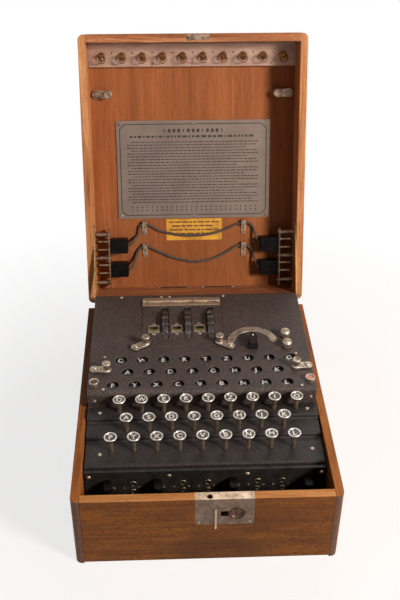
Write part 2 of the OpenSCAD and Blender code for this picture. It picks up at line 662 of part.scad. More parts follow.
// Hinged cover over the rotors: three thumb-wheel slots and three framed windows
module rotor_cover() {
    top = deck_z + 0.6;
    on_top = top + seam;
    leaf_top = deck_z + cover_t;
    color([0.22, 0.21, 0.21]) difference() {
        translate([0, 0, top - cover_t]) linear_extrude(height = cover_t) cover_outline();
        for (x = rotor_x) {
            translate([x, cover_window_y, deck_z - 4]) cover_window_hole();
            translate([x + thumb_offset - slot_w / 2, rotor_y - slot_l / 2, deck_z - 4]) cube([slot_w, slot_l, 8]);
        }
    }
    color([0.66, 0.6, 0.5]) {
        // front leaf and alternate knuckles of the long hinge
        block([cover_x - cover_w / 2, cover_axis[0] - 8, on_top],
            [cover_x + cover_w / 2, cover_axis[0] - cover_barrel_r - 0.4, leaf_top]);
        for (i = [1:2:5]) cover_knuckle(i, -3, 0, on_top, leaf_top);
        // window frames, each held by a screw at its top and its foot
        for (x = rotor_x) translate([x, cover_window_y, on_top]) difference() {
            linear_extrude(height = 0.8) {
                square(cover_window + 2 * [window_rim, window_rim], center = true);
                for (s = [-1, 1]) translate([0, s * (cover_window[1] / 2 + window_tab[0])])
                    circle(window_tab[1], $fn = 24);
            }
            translate([0, 0, -1]) cover_window_hole();
        }
    }
}

module cover_window_hole() {
    translate([-cover_window[0] / 2, -cover_window[1] / 2, 0]) cube([cover_window[0], cover_window[1], 8]);
}

// One knuckle of the cover's long hinge, with the web that joins it to its leaf
module cover_knuckle(i, from_y, to_y, z0, z1) {
    a = cover_x - cover_w / 2 + i * cover_w / 7;
    b = a + cover_w / 7 - 0.2;
    block([a, cover_axis[0] + from_y, z0], [b, cover_axis[0] + to_y, z1]);
    rod_x(a, b, cover_axis[0], cover_axis[1], cover_barrel_r);
}

// ---- plugboard -----------------------------------------------------------------------------------------------

module socket_places() {
    for (r = [0:2], i = [0:socket_count[r] - 1])
        translate([socket_x[r] + i * socket_step, board_y, socket_z[r]]) children();
}

module plugboard() {
    color([0.1, 0.1, 0.1]) difference() {
        block([-deck_w / 2, board_y, floor_t], [deck_w / 2, board_y + board_t - gap, board_top]);
        socket_places() {
            translate([0, -1, socket_pair / 2]) rotate([-90, 0, 0]) cylinder(r = socket_r, h = board_t + 2);
            translate([0, -1, -socket_pair / 2]) rotate([-90, 0, 0]) cylinder(r = thin_socket_r, h = board_t + 2);
        }
    }
}

// Brass bushes of the sockets: the upper one takes the thick pin, the lower one the thin pin
module bush(r, wall) {
    rotate([-90, 0, 0]) rotate_extrude($fn = 32) polygon([[r - wall, 0], [r + 0.6, 0], [r + 0.9, 0.3], [r + 0.9, 0.5],
        [r - 0.02, 0.5], [r - 0.02, board_t + 3], [r - wall, board_t + 3]]);
}

module sockets() {
    color("goldenrod") socket_places() {
        translate([0, -0.5, socket_pair / 2]) bush(socket_r, socket_r - pin_r[0] - pin_fit);
        translate([0, -0.5, -socket_pair / 2]) bush(thin_socket_r, thin_socket_r - pin_r[1] - pin_fit);
    }
}

// Four plugs in the top row, each with its two pins in a socket
module board_plugs() {
    y1 = board_y - 0.5 - gap;
    for (k = plugged) {
        x = socket_x[0] + k * socket_step;
        color([0.12, 0.12, 0.12]) difference() {
            translate([x, y1 - plug_d / 2, socket_z[0] - plug_h / 2])
                linear_extrude(height = plug_h) rounded_rect(plug_w, plug_d, 3);
            rod_y(y1 - 4, y1 + 1, x, socket_z[0] + socket_pair / 2, pin_r[0]);
            rod_y(y1 - 4, y1 + 1, x, socket_z[0] - socket_pair / 2, pin_r[1]);
        }
        color("goldenrod") {
            rod_y(y1 - 4 + seam, board_y + 5, x, socket_z[0] + socket_pair / 2, pin_r[0] - seam);
            rod_y(y1 - 4 + seam, board_y + 5, x, socket_z[0] - socket_pair / 2, pin_r[1] - seam);
        }
    }
}

// Two cords that hang from plug to plug in the trough behind the flap
module board_cords() {
    foot_z = socket_z[0] - plug_h / 2;
    color([0.3, 0.27, 0.24]) for (k = [plugged[0], plugged[2]]) {
        x = socket_x[0] + k * socket_step;
        reach = (plugged[k == plugged[0] ? 1 : 3] - k) * socket_step;
        y = board_y - 0.5 - gap - plug_d / 2;
        cord([for (p = board_cord) [x + p[0] * reach / board_cord_w, y + p[1], foot_z + p[2] - board_cord[0][2]]],
            cord_d, [0, 1, 0.3]);
    }
}

// ---- moving pieces on the lamp deck --------------------------------------------------------------------------

module switch_knob() {
    color([0.06, 0.06, 0.06]) translate([switch_pos[0], switch_pos[1], deck_z + 1]) difference() {
        union() {
            cylinder(r = 5.5, h = 2);
            linear_extrude(height = 9)
                polygon([[-4.75, -14], [4.75, -14], [4.75, 1], [3.4, 7.6], [-3.4, 7.6], [-4.75, 1]]);
        }
        translate([0, 0, -1]) cylinder(r = 2.5 + fit, h = 6.2);
    }
}

// Swivel clamp: a flat arm that turns on its post, with a tall turned knob at its free end
module clamp(pivot, tip, z) {
    d = tip - pivot;
    a = atan2(d[1], d[0]);
    l = norm(d);
    color([0.7, 0.64, 0.54]) translate([pivot[0], pivot[1], z + clamp_lift]) rotate(a) {
        difference() {
            linear_extrude(height = clamp_arm_t) {
                circle(clamp_arm_w / 2 + 0.5);
                translate([0, -clamp_arm_w / 2]) square([l, clamp_arm_w]);
                translate([l, 0]) circle(clamp_arm_w / 2);
            }
            translate([0, 0, -1]) cylinder(r = clamp_pivot_r + fit, h = clamp_arm_t + 2);
        }
        translate([l, 0, clamp_arm_t]) rotate_extrude() polygon([[0, 0], [clamp_knob_r, 0], [clamp_knob_r - 0.7, 1.5],
            [clamp_knob_r - 0.7, clamp_knob_h - 5.5], [clamp_knob_r + 0.3, clamp_knob_h - 4],
            [clamp_knob_r + 0.3, clamp_knob_h - 3], [clamp_knob_r - 0.4, clamp_knob_h - 2.3], [0, clamp_knob_h - 2.6]]);
    }
}

// The same clamp at a place listed as x and y of its pivot, then of its knob
module deck_clamp(place) {
    clamp([place[0], place[1]], [place[2], place[3]], deck_z);
}

// ---- front flap ----------------------------------------------------------------------------------------------

module lock_opening() {
    translate([dish[0], dish[1]]) circle(dish_r);
    translate([dish[0] - dish_r - 7.5, dish[1] - 3.7]) square([8.5, 7.4]);
}

// Oak flap, recessed for the lock and notched for its two hinges
module front_flap() {
    color("peru") difference() {
        block([-flap_w / 2, front_y, flap_bottom], [flap_w / 2, front_y + end_t, base_top]);
        for (s = [-1, 1]) {
            // each hinge stands behind a thin lip of the flap
            block([s * flap_hinge_x - flap_hinge_l / 2 - 0.6, flap_axis[0] - flap_knuckle_r - gap, 0],
                [s * flap_hinge_x + flap_hinge_l / 2 + 0.6, front_y + end_t + 1, flap_notch_top]);
            for (t = [-1, 1]) translate([s * flap_hinge_x + t * (flap_hinge_l * 3 / 8 + 0.1) - flap_hinge_l / 8,
                front_y + end_t - flap_screwed_t, 0]) cube([flap_hinge_l / 4, 3, flap_screwed_top]);
        }
        // seat of the front plate, seat of the top plate, pocket for the slide, hole for the striker
        block([lock_x - lock_w / 2, front_y - 1, lock_z - lock_h / 2],
            [lock_x + lock_w / 2, front_y + lock_plate_t, base_top + 1]);
        block([lock_x - lock_w / 2, front_y - 1, base_top - lock_plate_t],
            [lock_x + lock_w / 2, front_y + end_t + 1, base_top + 1]);
        block([lock_x - 10, front_y + lock_plate_t - 1, lock_z - 14], [lock_x + 24, front_y + lock_plate_t + 5, lock_z + 10]);
        translate([strike_x, strike_y, base_top - 14]) cylinder(r = strike_r + 0.5, h = 20);
    }
}

// Lock plates and the flap's halves of the hinges
module flap_fittings() {
    color([0.5, 0.47, 0.43]) {
        difference() {
            union() {
                block([lock_x - lock_w / 2, front_y, lock_z - lock_h / 2],
                    [lock_x + lock_w / 2, front_y + lock_plate_t, base_top]);
                block([lock_x - lock_w / 2, front_y, base_top - lock_plate_t],
                    [lock_x + lock_w / 2, front_y + end_t, base_top]);
            }
            translate([0, front_y + 20, 0]) rotate([90, 0, 0]) linear_extrude(height = 30) lock_opening();
            translate([strike_x, strike_y, base_top - 14]) cylinder(r = strike_r + 0.5, h = 20);
        }
        // narrow tab that hangs over the plate
        block([lock_x - 10.4, front_y - 1.2, lock_z - 24.5], [lock_x - 8.4, front_y - seam, lock_z + 5]);
        for (s = [-1, 1]) flap_hinge_leaf(s * flap_hinge_x, false);
    }
}

// Slide of the lock: a dished finger button behind the plate, pushed to the left to let the lid go
module lock_slide() {
    y0 = front_y + lock_plate_t + fit;
    color([0.62, 0.58, 0.54]) translate([dish[0], y0, dish[1]]) rotate([-90, 0, 0]) difference() {
        union() {
            cylinder(r = dish_r + 2.6, h = 4.6);
            translate([-dish_r - 7, -3, 1.8]) cube([10, 6, 2.8]);
        }
        translate([0, 0, -7.4]) sphere(r = 11);
    }
}

// ---- lid -----------------------------------------------------------------------------------------------------

// Four walls and the top board
module lid_frame() {
    chamfer = [9, 7];
    color("peru") lid_pose() {
        for (s = [-1, 1]) difference() {
            translate([0, 0, rim_z]) linear_extrude(height = lid_h) intersection() {
                rounded_rect(case_w, case_d, corner_r);
                translate([s * (case_w - wall_t) / 2, 0]) square([wall_t, case_d], center = true);
            }
            along_x(2 * case_w) polygon([[rear_y + 1, rim_z + chamfer[1] + 1], [rear_y + 1, rim_z - 1],
                [rear_y - chamfer[0] - 1, rim_z - 1]]);
        }
        difference() {
            block([seam - in_w / 2, front_y, rim_z], [in_w / 2 - seam, front_y + end_t, rim_z + lid_h]);
            block([strike_x - 11, front_y + 1.2, rim_z - 1], [strike_x + 17, front_y + 7.6, rim_z + 1.2]);
            translate([strike_x, strike_y, rim_z]) cylinder(r = strike_r, h = 8);
        }
        difference() {
            block([seam - in_w / 2, rear_y - end_t, rim_z], [in_w / 2 - seam, rear_y, rim_z + lid_h]);
            rod_x(-case_w, case_w, rear_y, axis_z, hinge_r + gap);
            for (x = [-28, 31]) block([x - 23, rear_y - end_t - 1, panel_z - 7], [x + 23, rear_y - end_t + 1.2, panel_z - 1]);
        }
        block([seam - in_w / 2, front_y + end_t + seam, panel_z], [in_w / 2 - seam, rear_y - end_t - seam, rim_z + lid_h]);
    }
}

// Cord clip: a bent strap over the cord and a tongue with two round-headed screws
module cord_clip(x, v) {
    y = rear_y - v;
    over = cord_d + 0.6;
    difference() {
        block([x - clip_w / 2, y - 3.6, panel_z - over - 1], [x + clip_w / 2, y + 3.6, panel_z]);
        block([x - clip_w, y - 2.6, panel_z - over], [x + clip_w, y + 2.6, panel_z + 1]);
    }
    block([x - clip_w / 2, y + 3.6, panel_z - 1], [x + clip_w / 2, y + 15, panel_z]);
    for (d = [6.5, 11.5]) translate([x + 1, y + d, panel_z - 1 - seam]) mirror([0, 0, 1]) screw_head(1.8, 1.1);
}

// Metal in the lid: hinge leaves, striker, inlaid strips, cord clips, stay and catch posts, screws
module lid_fittings() {
    color([0.66, 0.6, 0.5]) lid_pose() {
        for (s = [-1, 1]) {
            lid_hinge_leaf(s * hinge_x, true);
            for (v = clip_v) cord_clip(s * clip_x, v);
            // post of the catch
            translate([s * catch_pivot_x, rear_y - catch_v, panel_z]) mirror([0, 0, 1]) clamp_post(0, 0, 0);
            // flush pin that a stay turns on
            rod_x(s > 0 ? stay_x : -in_w / 2, s > 0 ? in_w / 2 : -stay_x, stay_pivot[0], stay_pivot[1], stay_pin_r);
        }
        // striker
        difference() {
            block([strike_x - 11, front_y + 1.2, rim_z], [strike_x + 17, front_y + 7.6, rim_z + 1.2]);
            translate([strike_x, strike_y, rim_z - 1]) cylinder(r = strike_r, h = 8);
        }
        translate([strike_x, strike_y, rim_z - 9]) difference() {
            cylinder(r = strike_r - 0.02, h = 17);
            translate([0, -4, 2]) cube([6, 8, 2.4]);
        }
        for (x = [-28, 31]) block([x - 23, rear_y - end_t, panel_z - 7], [x + 23, rear_y - end_t + 1.2, panel_z - 1]);
        for (x = [-1, 0, 1], y = [-1, 1]) translate([x * (sign_w / 2 - sign_screw_inset),
            rear_y - sign_v + y * (sign_h / 2 - sign_screw_inset), panel_z - sign_t])
                mirror([0, 0, 1]) screw_head(2.2, 1);
        for (i = [-2:2]) translate([i * bar_screw_pitch, rear_y - bar_screw_v, panel_z - bar_t])
            mirror([0, 0, 1]) screw_head(2, 0.9);
    }
}

// Lid stay: a flat bar pivoted on the lid, its foot hooked over a stud on the case
module stay(s) {
    a = swing([0, stay_pivot[0], stay_pivot[1]]);
    d = stay_foot - [a[1], a[2]];
    l = norm(d);
    x0 = s > 0 ? stay_x : -stay_x - stay_t;
    color([0.6, 0.5, 0.32]) translate([x0, a[1], a[2]]) rotate([atan2(d[1], d[0]), 0, 0])
    rotate([90, 0, 90]) linear_extrude(height = stay_t) difference() {
        union() {
            circle(stay_w / 2);
            translate([0, -stay_w / 2]) square([l, stay_w]);
            translate([l, 0]) circle(stay_w / 2);
        }
        circle(stay_pin_r + fit);
        translate([l, 0]) circle(stay_pin_r + fit);
        translate([l - stay_pin_r - fit, 0]) square([2 * (stay_pin_r + fit), stay_w]);
    }
}

// Bar that holds the ten spare bulbs
module bulb_axis(i) {
    translate([(i - 4.5) * bulb_pitch, rear_y - bulb_v, panel_z - bar_t / 2]) rotate([bulb_tilt, 0, 0])
        mirror([0, 0, 1]) children();
}

module bulb_bar() {
    color([0.5, 0.43, 0.38]) lid_pose() difference() {
        block([gap - in_w / 2, rear_y - bar_v[1], panel_z - bar_t], [in_w / 2 - gap, rear_y - bar_v[0], panel_z]);
        for (i = [0:9]) bulb_axis(i) translate([0, 0, -2.2]) cylinder(r = bulb_base_r + 0.2, h = 20);
        for (i = [0:8]) translate([(i - 4) * bulb_pitch, rear_y - bulb_v - 3, panel_z - bar_t - 1])
            cylinder(r = 1, h = 4, $fn = 16);
    }
}

// Spare bulbs: screw cap and round glass
module spare_bulbs() {
    color("khaki") lid_pose() for (i = [0:9]) bulb_axis(i) translate([0, 0, -2])
        rotate_extrude($fn = 32) polygon(concat([[0, 0], [bulb_base_r - 1.6, 0], [bulb_base_r, 1.6],
            [bulb_base_r, 9.6], [bulb_base_r - 0.6, 10.4], [bulb_base_r - 0.6, 11.4]],
            arc([0, 15.2], bulb_glass_r, -36, 90, 8)));
}

module instruction_plate() {
    color([0.42, 0.38, 0.35]) lid_pose() translate([0, rear_y - sign_v, panel_z - sign_t])
        linear_extrude(height = sign_t) rounded_rect(sign_w, sign_h, 1.5);
}

module lid_catch(s) {
    lid_pose() translate([0, rear_y - catch_v, panel_z]) mirror([0, 0, 1])
        clamp([s * catch_pivot_x, 0], [s * (catch_pivot_x - catch_len), 0], 0);
}

// Racks for the spare patch plugs: a drilled strip on three posts from each side wall
module plug_racks() {
    z = panel_z - rack_off;
    color([0.62, 0.52, 0.4]) lid_pose() for (s = [-1, 1]) {
        difference() {
            block([s > 0 ? rack_x : -rack_x - rack_t, rear_y - rack_v[1], z - 6],
                [s > 0 ? rack_x + rack_t : -rack_x, rear_y - rack_v[0], z + 6]);
            for (v = patch_plug_v, k = [0, 1])
                rod_x(s > 0 ? rack_x - 1 : -rack_x - rack_t - 1, s > 0 ? rack_x + rack_t + 1 : 1 - rack_x,
                    rear_y - v + (k - 0.5) * pin_pitch, z, pin_r[k] + pin_fit);
        }
        for (v = rack_post_v) {
            rod_x(s > 0 ? rack_x + rack_t + seam : -in_w / 2, s > 0 ? in_w / 2 : -rack_x - rack_t - seam,
                rear_y - v, z, rack_post_r);
            rod_x(s > 0 ? rack_x - 1.2 : seam - rack_x, s > 0 ? rack_x - seam : 1.2 - rack_x, rear_y - v, z, 2.2);
        }
    }
}

// Four plugs stored in the racks
module patch_plugs() {
    z = panel_z - rack_off;
    lid_pose() for (s = [-1, 1], v = patch_plug_v) {
        color([0.1, 0.1, 0.1]) difference() {
            translate([s * (rack_x - 1 - patch_plug[0] / 2), rear_y - v, z - patch_plug[2] / 2])
                linear_extrude(height = patch_plug[2]) rounded_rect(patch_plug[0], patch_plug[1], 2);
            for (k = [0, 1]) rod_x(s > 0 ? rack_x - 6 : -rack_x - 1, s > 0 ? rack_x + 1 : 6 - rack_x,
                rear_y - v + (k - 0.5) * pin_pitch, z, pin_r[k]);
        }
        color("goldenrod") for (k = [0, 1])
            rod_x(s > 0 ? rack_x - 6 + seam : 3 - in_w / 2, s > 0 ? in_w / 2 - 3 : 6 - seam - rack_x,
                rear_y - v + (k - 0.5) * pin_pitch, z, pin_r[k] - seam);
    }
}

module patch_cords() {
    color([0.35, 0.3, 0.27]) for (route = [upper_cord, lower_cord])
        cord([for (p = route) swing(in_lid(p[0] * plug_face / lid_cord_half, p[1], p[2]))], cord_d, [0, -0.9, 0.3]);
}

oak_case();
case_fittings();
chassis();
lamp_deck();
lamp_panel();
key_deck();
plugboard();
sockets();
board_plugs();
board_cords();
rotor(0);  // rotor_left
rotor(1);  // rotor_middle
rotor(2);  // rotor_right
rotor_cover();
switch_knob();
deck_clamp(clamp_rear[0]);  // clamp_rear_left
deck_clamp(clamp_rear[1]);  // clamp_rear_right
deck_clamp(clamp_front[0]);  // clamp_front_left
deck_clamp(clamp_front[1]);  // clamp_front_right
front_flap();
flap_fittings();
lock_slide();
lid_frame();
lid_fittings();
stay(-1);  // stay_left
stay(1);  // stay_right
bulb_bar();
spare_bulbs();
instruction_plate();
lid_catch(-1);  // lid_catch_left
lid_catch(1);  // lid_catch_right
plug_racks();
patch_plugs();
patch_cords();
key(0, 0);  // key_q
key(0, 1);  // key_w
key(0, 2);  // key_e
key(0, 3);  // key_r
key(0, 4);  // key_t
key(0, 5);  // key_z
key(0, 6);  // key_u
key(0, 7);  // key_i
key(0, 8);  // key_o
key(1, 0);  // key_a
key(1, 1);  // key_s
key(1, 2);  // key_d
key(1, 3);  // key_f
key(1, 4);  // key_g
key(1, 5);  // key_h
key(1, 6);  // key_j
key(1, 7);  // key_k
key(2, 0);  // key_p
key(2, 1);  // key_y
key(2, 2);  // key_x
key(2, 3);  // key_c
key(2, 4);  // key_v
key(2, 5);  // key_b
key(2, 6);  // key_n
key(2, 7);  // key_m
key(2, 8);  // key_l
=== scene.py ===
import math
import random

import bmesh
import bpy
from mathutils import Matrix, Vector


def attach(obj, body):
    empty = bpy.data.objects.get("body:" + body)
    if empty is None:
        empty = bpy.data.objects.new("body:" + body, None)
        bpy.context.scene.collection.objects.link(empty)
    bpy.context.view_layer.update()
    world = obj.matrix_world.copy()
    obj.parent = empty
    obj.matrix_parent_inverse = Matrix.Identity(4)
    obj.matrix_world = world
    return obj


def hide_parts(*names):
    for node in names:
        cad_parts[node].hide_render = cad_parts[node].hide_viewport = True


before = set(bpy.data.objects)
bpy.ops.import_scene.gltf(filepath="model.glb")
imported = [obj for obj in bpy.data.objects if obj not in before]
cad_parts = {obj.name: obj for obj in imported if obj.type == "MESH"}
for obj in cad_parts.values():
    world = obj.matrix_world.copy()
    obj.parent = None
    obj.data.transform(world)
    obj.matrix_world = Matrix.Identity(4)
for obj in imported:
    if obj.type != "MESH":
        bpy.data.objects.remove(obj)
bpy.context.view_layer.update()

MM = 0.001
scene = bpy.context.scene
scene.view_settings.view_transform = "Standard"

# ---- Camera ---------------------------------------------------------------------------------------------------
# It stands in front of the machine and a little to the left of its middle, and looks down on it from above, as the
# photographer did.
CAMERA_AT = Vector((-0.0373, -0.7979, 0.7957))
CAMERA_TURN, CAMERA_DOWN, CAMERA_ROLL = (math.radians(a) for a in (2.528, 35.74, 0.405))
CAMERA_LENS = 54.52

camera = bpy.data.objects.new("camera", bpy.data.cameras.new("camera"))
camera.data.lens = CAMERA_LENS
camera.matrix_world = (Matrix.Translation(CAMERA_AT) @ Matrix.Rotation(-CAMERA_TURN, 4, "Z")
                       @ Matrix.Rotation(math.pi / 2 - CAMERA_DOWN, 4, "X") @ Matrix.Rotation(CAMERA_ROLL, 4, "Z"))
scene.collection.objects.link(camera)
scene.camera = camera

# ---- Patch cords in the lid -----------------------------------------------------------------------------------
# Two spare patch cords of braided cotton over stranded wire. Each runs from a plug in the left rack, through two
# metal clips, to a plug in the right rack, and sags between the clips.
LID_OPEN = math.radians(109.1)
LID_AXIS = Vector((0, 170, 94.25)) * MM
REAR, RIM = 170, 94.4
PANEL_DEPTH = 45
CORD_D = 3.4
UPPER_CORD = [(-88, 71, 33), (-84, 72, 34), (-80.5, 76, 37), (-77.5, 80, 41), (-75.5, 82, 42.8), (-74, 87, 42.8),
              (-73, 92, 42.8), (-71, 96, 42.8), (-67, 97.5, 42.8), (-62, 97, 42.8), (-56, 94, 42.8), (-45, 88, 42.8),
              (-30, 84, 42.8), (-14, 81.5, 42.8), (2, 81, 42.8), (16, 82, 42.8), (30, 85, 42.8), (44, 90, 42.8),
              (56, 95, 42.8), (66, 97.5, 42.8), (74, 96, 42.8), (79, 90, 42.2), (81.5, 82, 39), (84, 74, 35),
              (88, 71, 33)]
LOWER_CORD = [(-88, 39, 33), (-84, 40, 34), (-81, 45, 37), (-79, 52, 41), (-76, 60, 42.8), (-71, 66, 42.8),
              (-65, 67.5, 42.8), (-58, 65, 42.8), (-46, 59, 42.8), (-30, 52, 42.8), (-14, 47.5, 42.8), (2, 45, 42.8),
              (16, 46.5, 42.8), (30, 51, 42.8), (44, 58, 42.8), (56, 65, 42.8), (66, 67.5, 42.8), (74, 64, 42.8),
              (79, 56, 42), (81.5, 47, 38), (84, 40, 34.5), (88, 39, 33)]


def in_lid(x, up, deep):
    """A place in the lid: x, distance from its rear face and depth below its rim, all in mm, with the lid open"""
    closed = Vector((x, REAR - up, RIM + deep)) * MM
    return LID_AXIS + Matrix.Rotation(-LID_OPEN, 3, "X") @ (closed - LID_AXIS)


# Carries a shape drawn flat, in metres, to the lid's inner face: x to the right, y away from the hinge, z off the face
LID_FACE = Matrix.Translation(in_lid(0, 0, PANEL_DEPTH)) @ Matrix.Rotation(math.pi - LID_OPEN, 4, "X")


def seen(red, green, blue):
    """A colour as it shows on a screen, 0 to 255, in the linear light that a shader takes"""
    light = [c / 255 / 12.92 if c <= 10 else ((c / 255 + 0.055) / 1.055) ** 2.4 for c in (red, green, blue)]
    return (*light, 1.0)


def new_finish(name, colour, rough, metal=0.0, sockets=()):
    """A finish named for what it covers, its plain values set on the shader's own sockets"""
    made = bpy.data.materials.new(name)
    made.use_nodes = True
    shader = made.node_tree.nodes["Principled BSDF"]
    for socket, value in {"Base Color": colour, "Roughness": rough, "Metallic": metal, **dict(sockets)}.items():
        shader.inputs[socket].default_value = value
    return made


def add(made, kind, feeds, **settings):
    """One node of a finish or of the world. feeds maps its inputs to values, nodes or sockets."""
    new = made.node_tree.nodes.new("ShaderNode" + kind)
    for name, value in settings.items():
        setattr(new, name, value)
    for place, value in feeds.items():
        value = value.outputs[0] if isinstance(value, bpy.types.Node) else value
        if isinstance(value, bpy.types.NodeSocket):
            made.node_tree.links.new(value, new.inputs[place])
        else:
            new.inputs[place].default_value = value
    return new


def feed(made, socket, source):
    """Gives a shader socket of a finish a pattern"""
    source = source.outputs[0] if isinstance(source, bpy.types.Node) else source
    made.node_tree.links.new(source, made.node_tree.nodes["Principled BSDF"].inputs[socket])


def grey(level):
    return (level, level, level, 1)


def ramp(made, source, *stops):
    """A colour ramp from pairs of place and colour"""
    new = add(made, "ValToRGB", {"Fac": source})
    elements = new.color_ramp.elements
    while len(elements) < len(stops):
        elements.new(0.5)
    for element, (place, colour) in zip(elements, stops):
        element.position, element.color = place, colour
    return new


def mix(made, share, under, over, kind="MIX"):
    return add(made, "Mix", {0: share, 6: under, 7: over}, data_type="RGBA", blend_type=kind).outputs[2]


def sized(made, size, turn=(0, 0, 0)):
    """Object coordinates measured in a pattern's own size, in metres along its own turned axes"""
    place = add(made, "TexCoord", {}).outputs["Object"]
    return add(made, "Mapping", {"Vector": place, "Rotation": turn, "Scale": size}, vector_type="TEXTURE")


def noise(made, where, detail=4.0, rough=0.55, twist=0.0, scale=1.0):
    return add(made, "TexNoise", {"Vector": where, "Scale": scale, "Detail": detail, "Roughness": rough,
                                  "Distortion": twist})


def relief(made, height, depth, under=None):
    """Gives a finish its small relief, depth in metres"""
    feeds = {"Height": height, "Distance": depth}
    if under is not None:
        feeds["Normal"] = under
    feed(made, "Normal", add(made, "Bump", feeds))


def cotton_braid():
    """Brown-grey cotton braid, its strands crossing in two slants along the cord"""
    made = new_finish("cotton_braid", seen(70, 52, 42), 0.7, sockets={"Sheen Weight": 0.06})
    wrap = add(made, "UVMap", {}, uv_map="UVMap")
    slants = []
    for lean in (1, -1):
        turned = add(made, "Mapping", {"Vector": wrap, "Rotation": (0, 0, lean * math.radians(38)),
                                       "Scale": (150, 5, 1)})
        slants.append(add(made, "TexWave", {"Vector": turned, "Scale": 1.0, "Distortion": 0.6}))
    strands = add(made, "Math", {0: slants[0].outputs["Fac"], 1: slants[1].outputs["Fac"]}, operation="MAXIMUM")
    soil = noise(made, sized(made, (0.012,) * 3), 5)
    thread = ramp(made, strands, (0.15, seen(34, 25, 20)), (0.75, seen(96, 72, 57)))
    feed(made, "Base Color", mix(made, ramp(made, soil, (0.35, grey(0)), (0.7, grey(0.55))), thread.outputs[0],
                                 seen(50, 37, 30)))
    relief(made, strands, 0.00025)
    return made


def smooth_line(points, steps=5):
    """Points close together on one smooth curve through a route"""
    held = [points[0] * 2 - points[1], *points, points[-1] * 2 - points[-2]]
    line = []
    for a, b, c, d in zip(held, held[1:], held[2:], held[3:]):
        for t in (i / steps for i in range(steps)):
            line.append((2 * b + (c - a) * t + (2 * a - 5 * b + 4 * c - d) * t ** 2
                         + (3 * b - a - 3 * c + d) * t ** 3) / 2)
    return line + [points[-1]]


def line_mesh(name, line, radius, sides=12):
    """A round tube along a line, as a mesh with its own map: along the line and round it"""
    curve = bpy.data.curves.new(name, "CURVE")
    curve.dimensions, curve.bevel_depth, curve.bevel_resolution = "3D", radius, sides // 4
    curve.use_fill_caps = True
    spline = curve.splines.new("POLY")
    spline.points.add(len(line) - 1)
    for point, place in zip(spline.points, line):
        point.co = (*place, 1)
    holder = bpy.data.objects.new(name, curve)
    mesh = bpy.data.meshes.new_from_object(holder)
    bpy.data.objects.remove(holder)
    mesh.name = name
    mesh.shade_smooth()
    return mesh


def place_piece(name, mesh, finishes, body):
    """Puts a finished mesh in the scene as a piece that moves with a body"""
    piece = bpy.data.objects.new(name, mesh)
    scene.collection.objects.link(piece)
    for made in finishes:
        mesh.materials.append(made)
    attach(piece, body)
    return piece


def free_cord(name, route, node, body):
    """A cord along a route, in place of the CAD's cord, held by its plugs at both ends"""
    line = smooth_line(route)
    piece = place_piece(name, line_mesh(name, line, CORD_D / 2 * MM), [BRAID], body)
    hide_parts(node)
    length = sum((b - a).length for a, b in zip(line, line[1:]))
    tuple(line[0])


BRAID = cotton_braid()
for name, places in (("patch_cord_upper", UPPER_CORD), ("patch_cord_lower", LOWER_CORD)):
    free_cord(name, [in_lid(*place) for place in places], "patch_cords", "lid")

# ---- Cords at the plugboard -----------------------------------------------------------------------------------
# Two more patch cords of the same braid are in use: each leaves the foot of one plug, sags in the trough behind the
# front flap and comes up into the next plug. The route is drawn for plugs 54 mm apart, and stretched to fit.
ROUTE_SPAN, ROUTE_TOP = 54, 44
BOARD_CORD = [(0, 0, 44), (0, 0, 36), (0.5, -2, 28), (4, -6, 20.5), (12, -11, 14.5), (22, -14, 12.2), (32, -14, 12.2),
              (42, -11, 14.5), (50, -6, 20.5), (53.5, -2, 28), (54, 0, 36), (54, 0, 44)]
SOCKET_PITCH = 26.85
TOP_SOCKETS = -104.6
BOARD_PLUGS_AT = (0, 2, 5, 8)
CORD_PLANE, PLUG_FOOT = -126.3, 44.6


def board_cord(name, first, last):
    """A cord between the plugs in two sockets of the top row, counted from the left"""
    reach = (last - first) * SOCKET_PITCH / ROUTE_SPAN
    start = TOP_SOCKETS + first * SOCKET_PITCH
    route = [Vector((start + x * reach, CORD_PLANE + y, PLUG_FOOT - ROUTE_TOP + z)) * MM for x, y, z in BOARD_CORD]
    free_cord(name, route, "board_cords", "case")


board_cord("board_cord_left", *BOARD_PLUGS_AT[:2])
board_cord("board_cord_right", *BOARD_PLUGS_AT[2:])

# ---- Room -----------------------------------------------------------------------------------------------------
# A pale studio table. A soft key lamp stands at the right front, a weak fill lamp at the left and a broad one behind;
# the wall all round is white, and fades into the table without an edge.
FLOOR_REACH = 4.0
TABLE_COLOUR = seen(250, 228, 214)
LAMPS_AIM_AT = Vector((0, 0.05, 0.1))
WORLD_LIGHT = 0.055


def table_finish():
    """White paper that fades to pure white away from the machine, and keeps its shadow close to it"""
    made = new_finish("studio_paper", TABLE_COLOUR, 0.9)
    nodes = made.node_tree.nodes
    place = add(made, "TexCoord", {}).outputs["Object"]
    far = add(made, "VectorMath", {0: place}, operation="LENGTH").outputs["Value"]
    fade = add(made, "MapRange", {"Value": far, "From Min": 0.24, "From Max": 0.55, "To Min": 0.78, "To Max": 1})
    rays = add(made, "LightPath", {}).outputs
    shown = add(made, "Math", {0: rays["Is Camera Ray"], 1: rays["Is Glossy Ray"]}, operation="MAXIMUM")
    shown = add(made, "Math", {0: shown, 1: rays["Is Transmission Ray"]}, operation="MAXIMUM")
    share = add(made, "Math", {0: shown, 1: fade}, operation="MULTIPLY")
    white = add(made, "Emission", {"Color": grey(1), "Strength": 1.0})
    both = add(made, "MixShader", {0: share, 1: nodes["Principled BSDF"].outputs[0], 2: white})
    made.node_tree.links.new(both.outputs[0], nodes["Material Output"].inputs["Surface"])
    return made


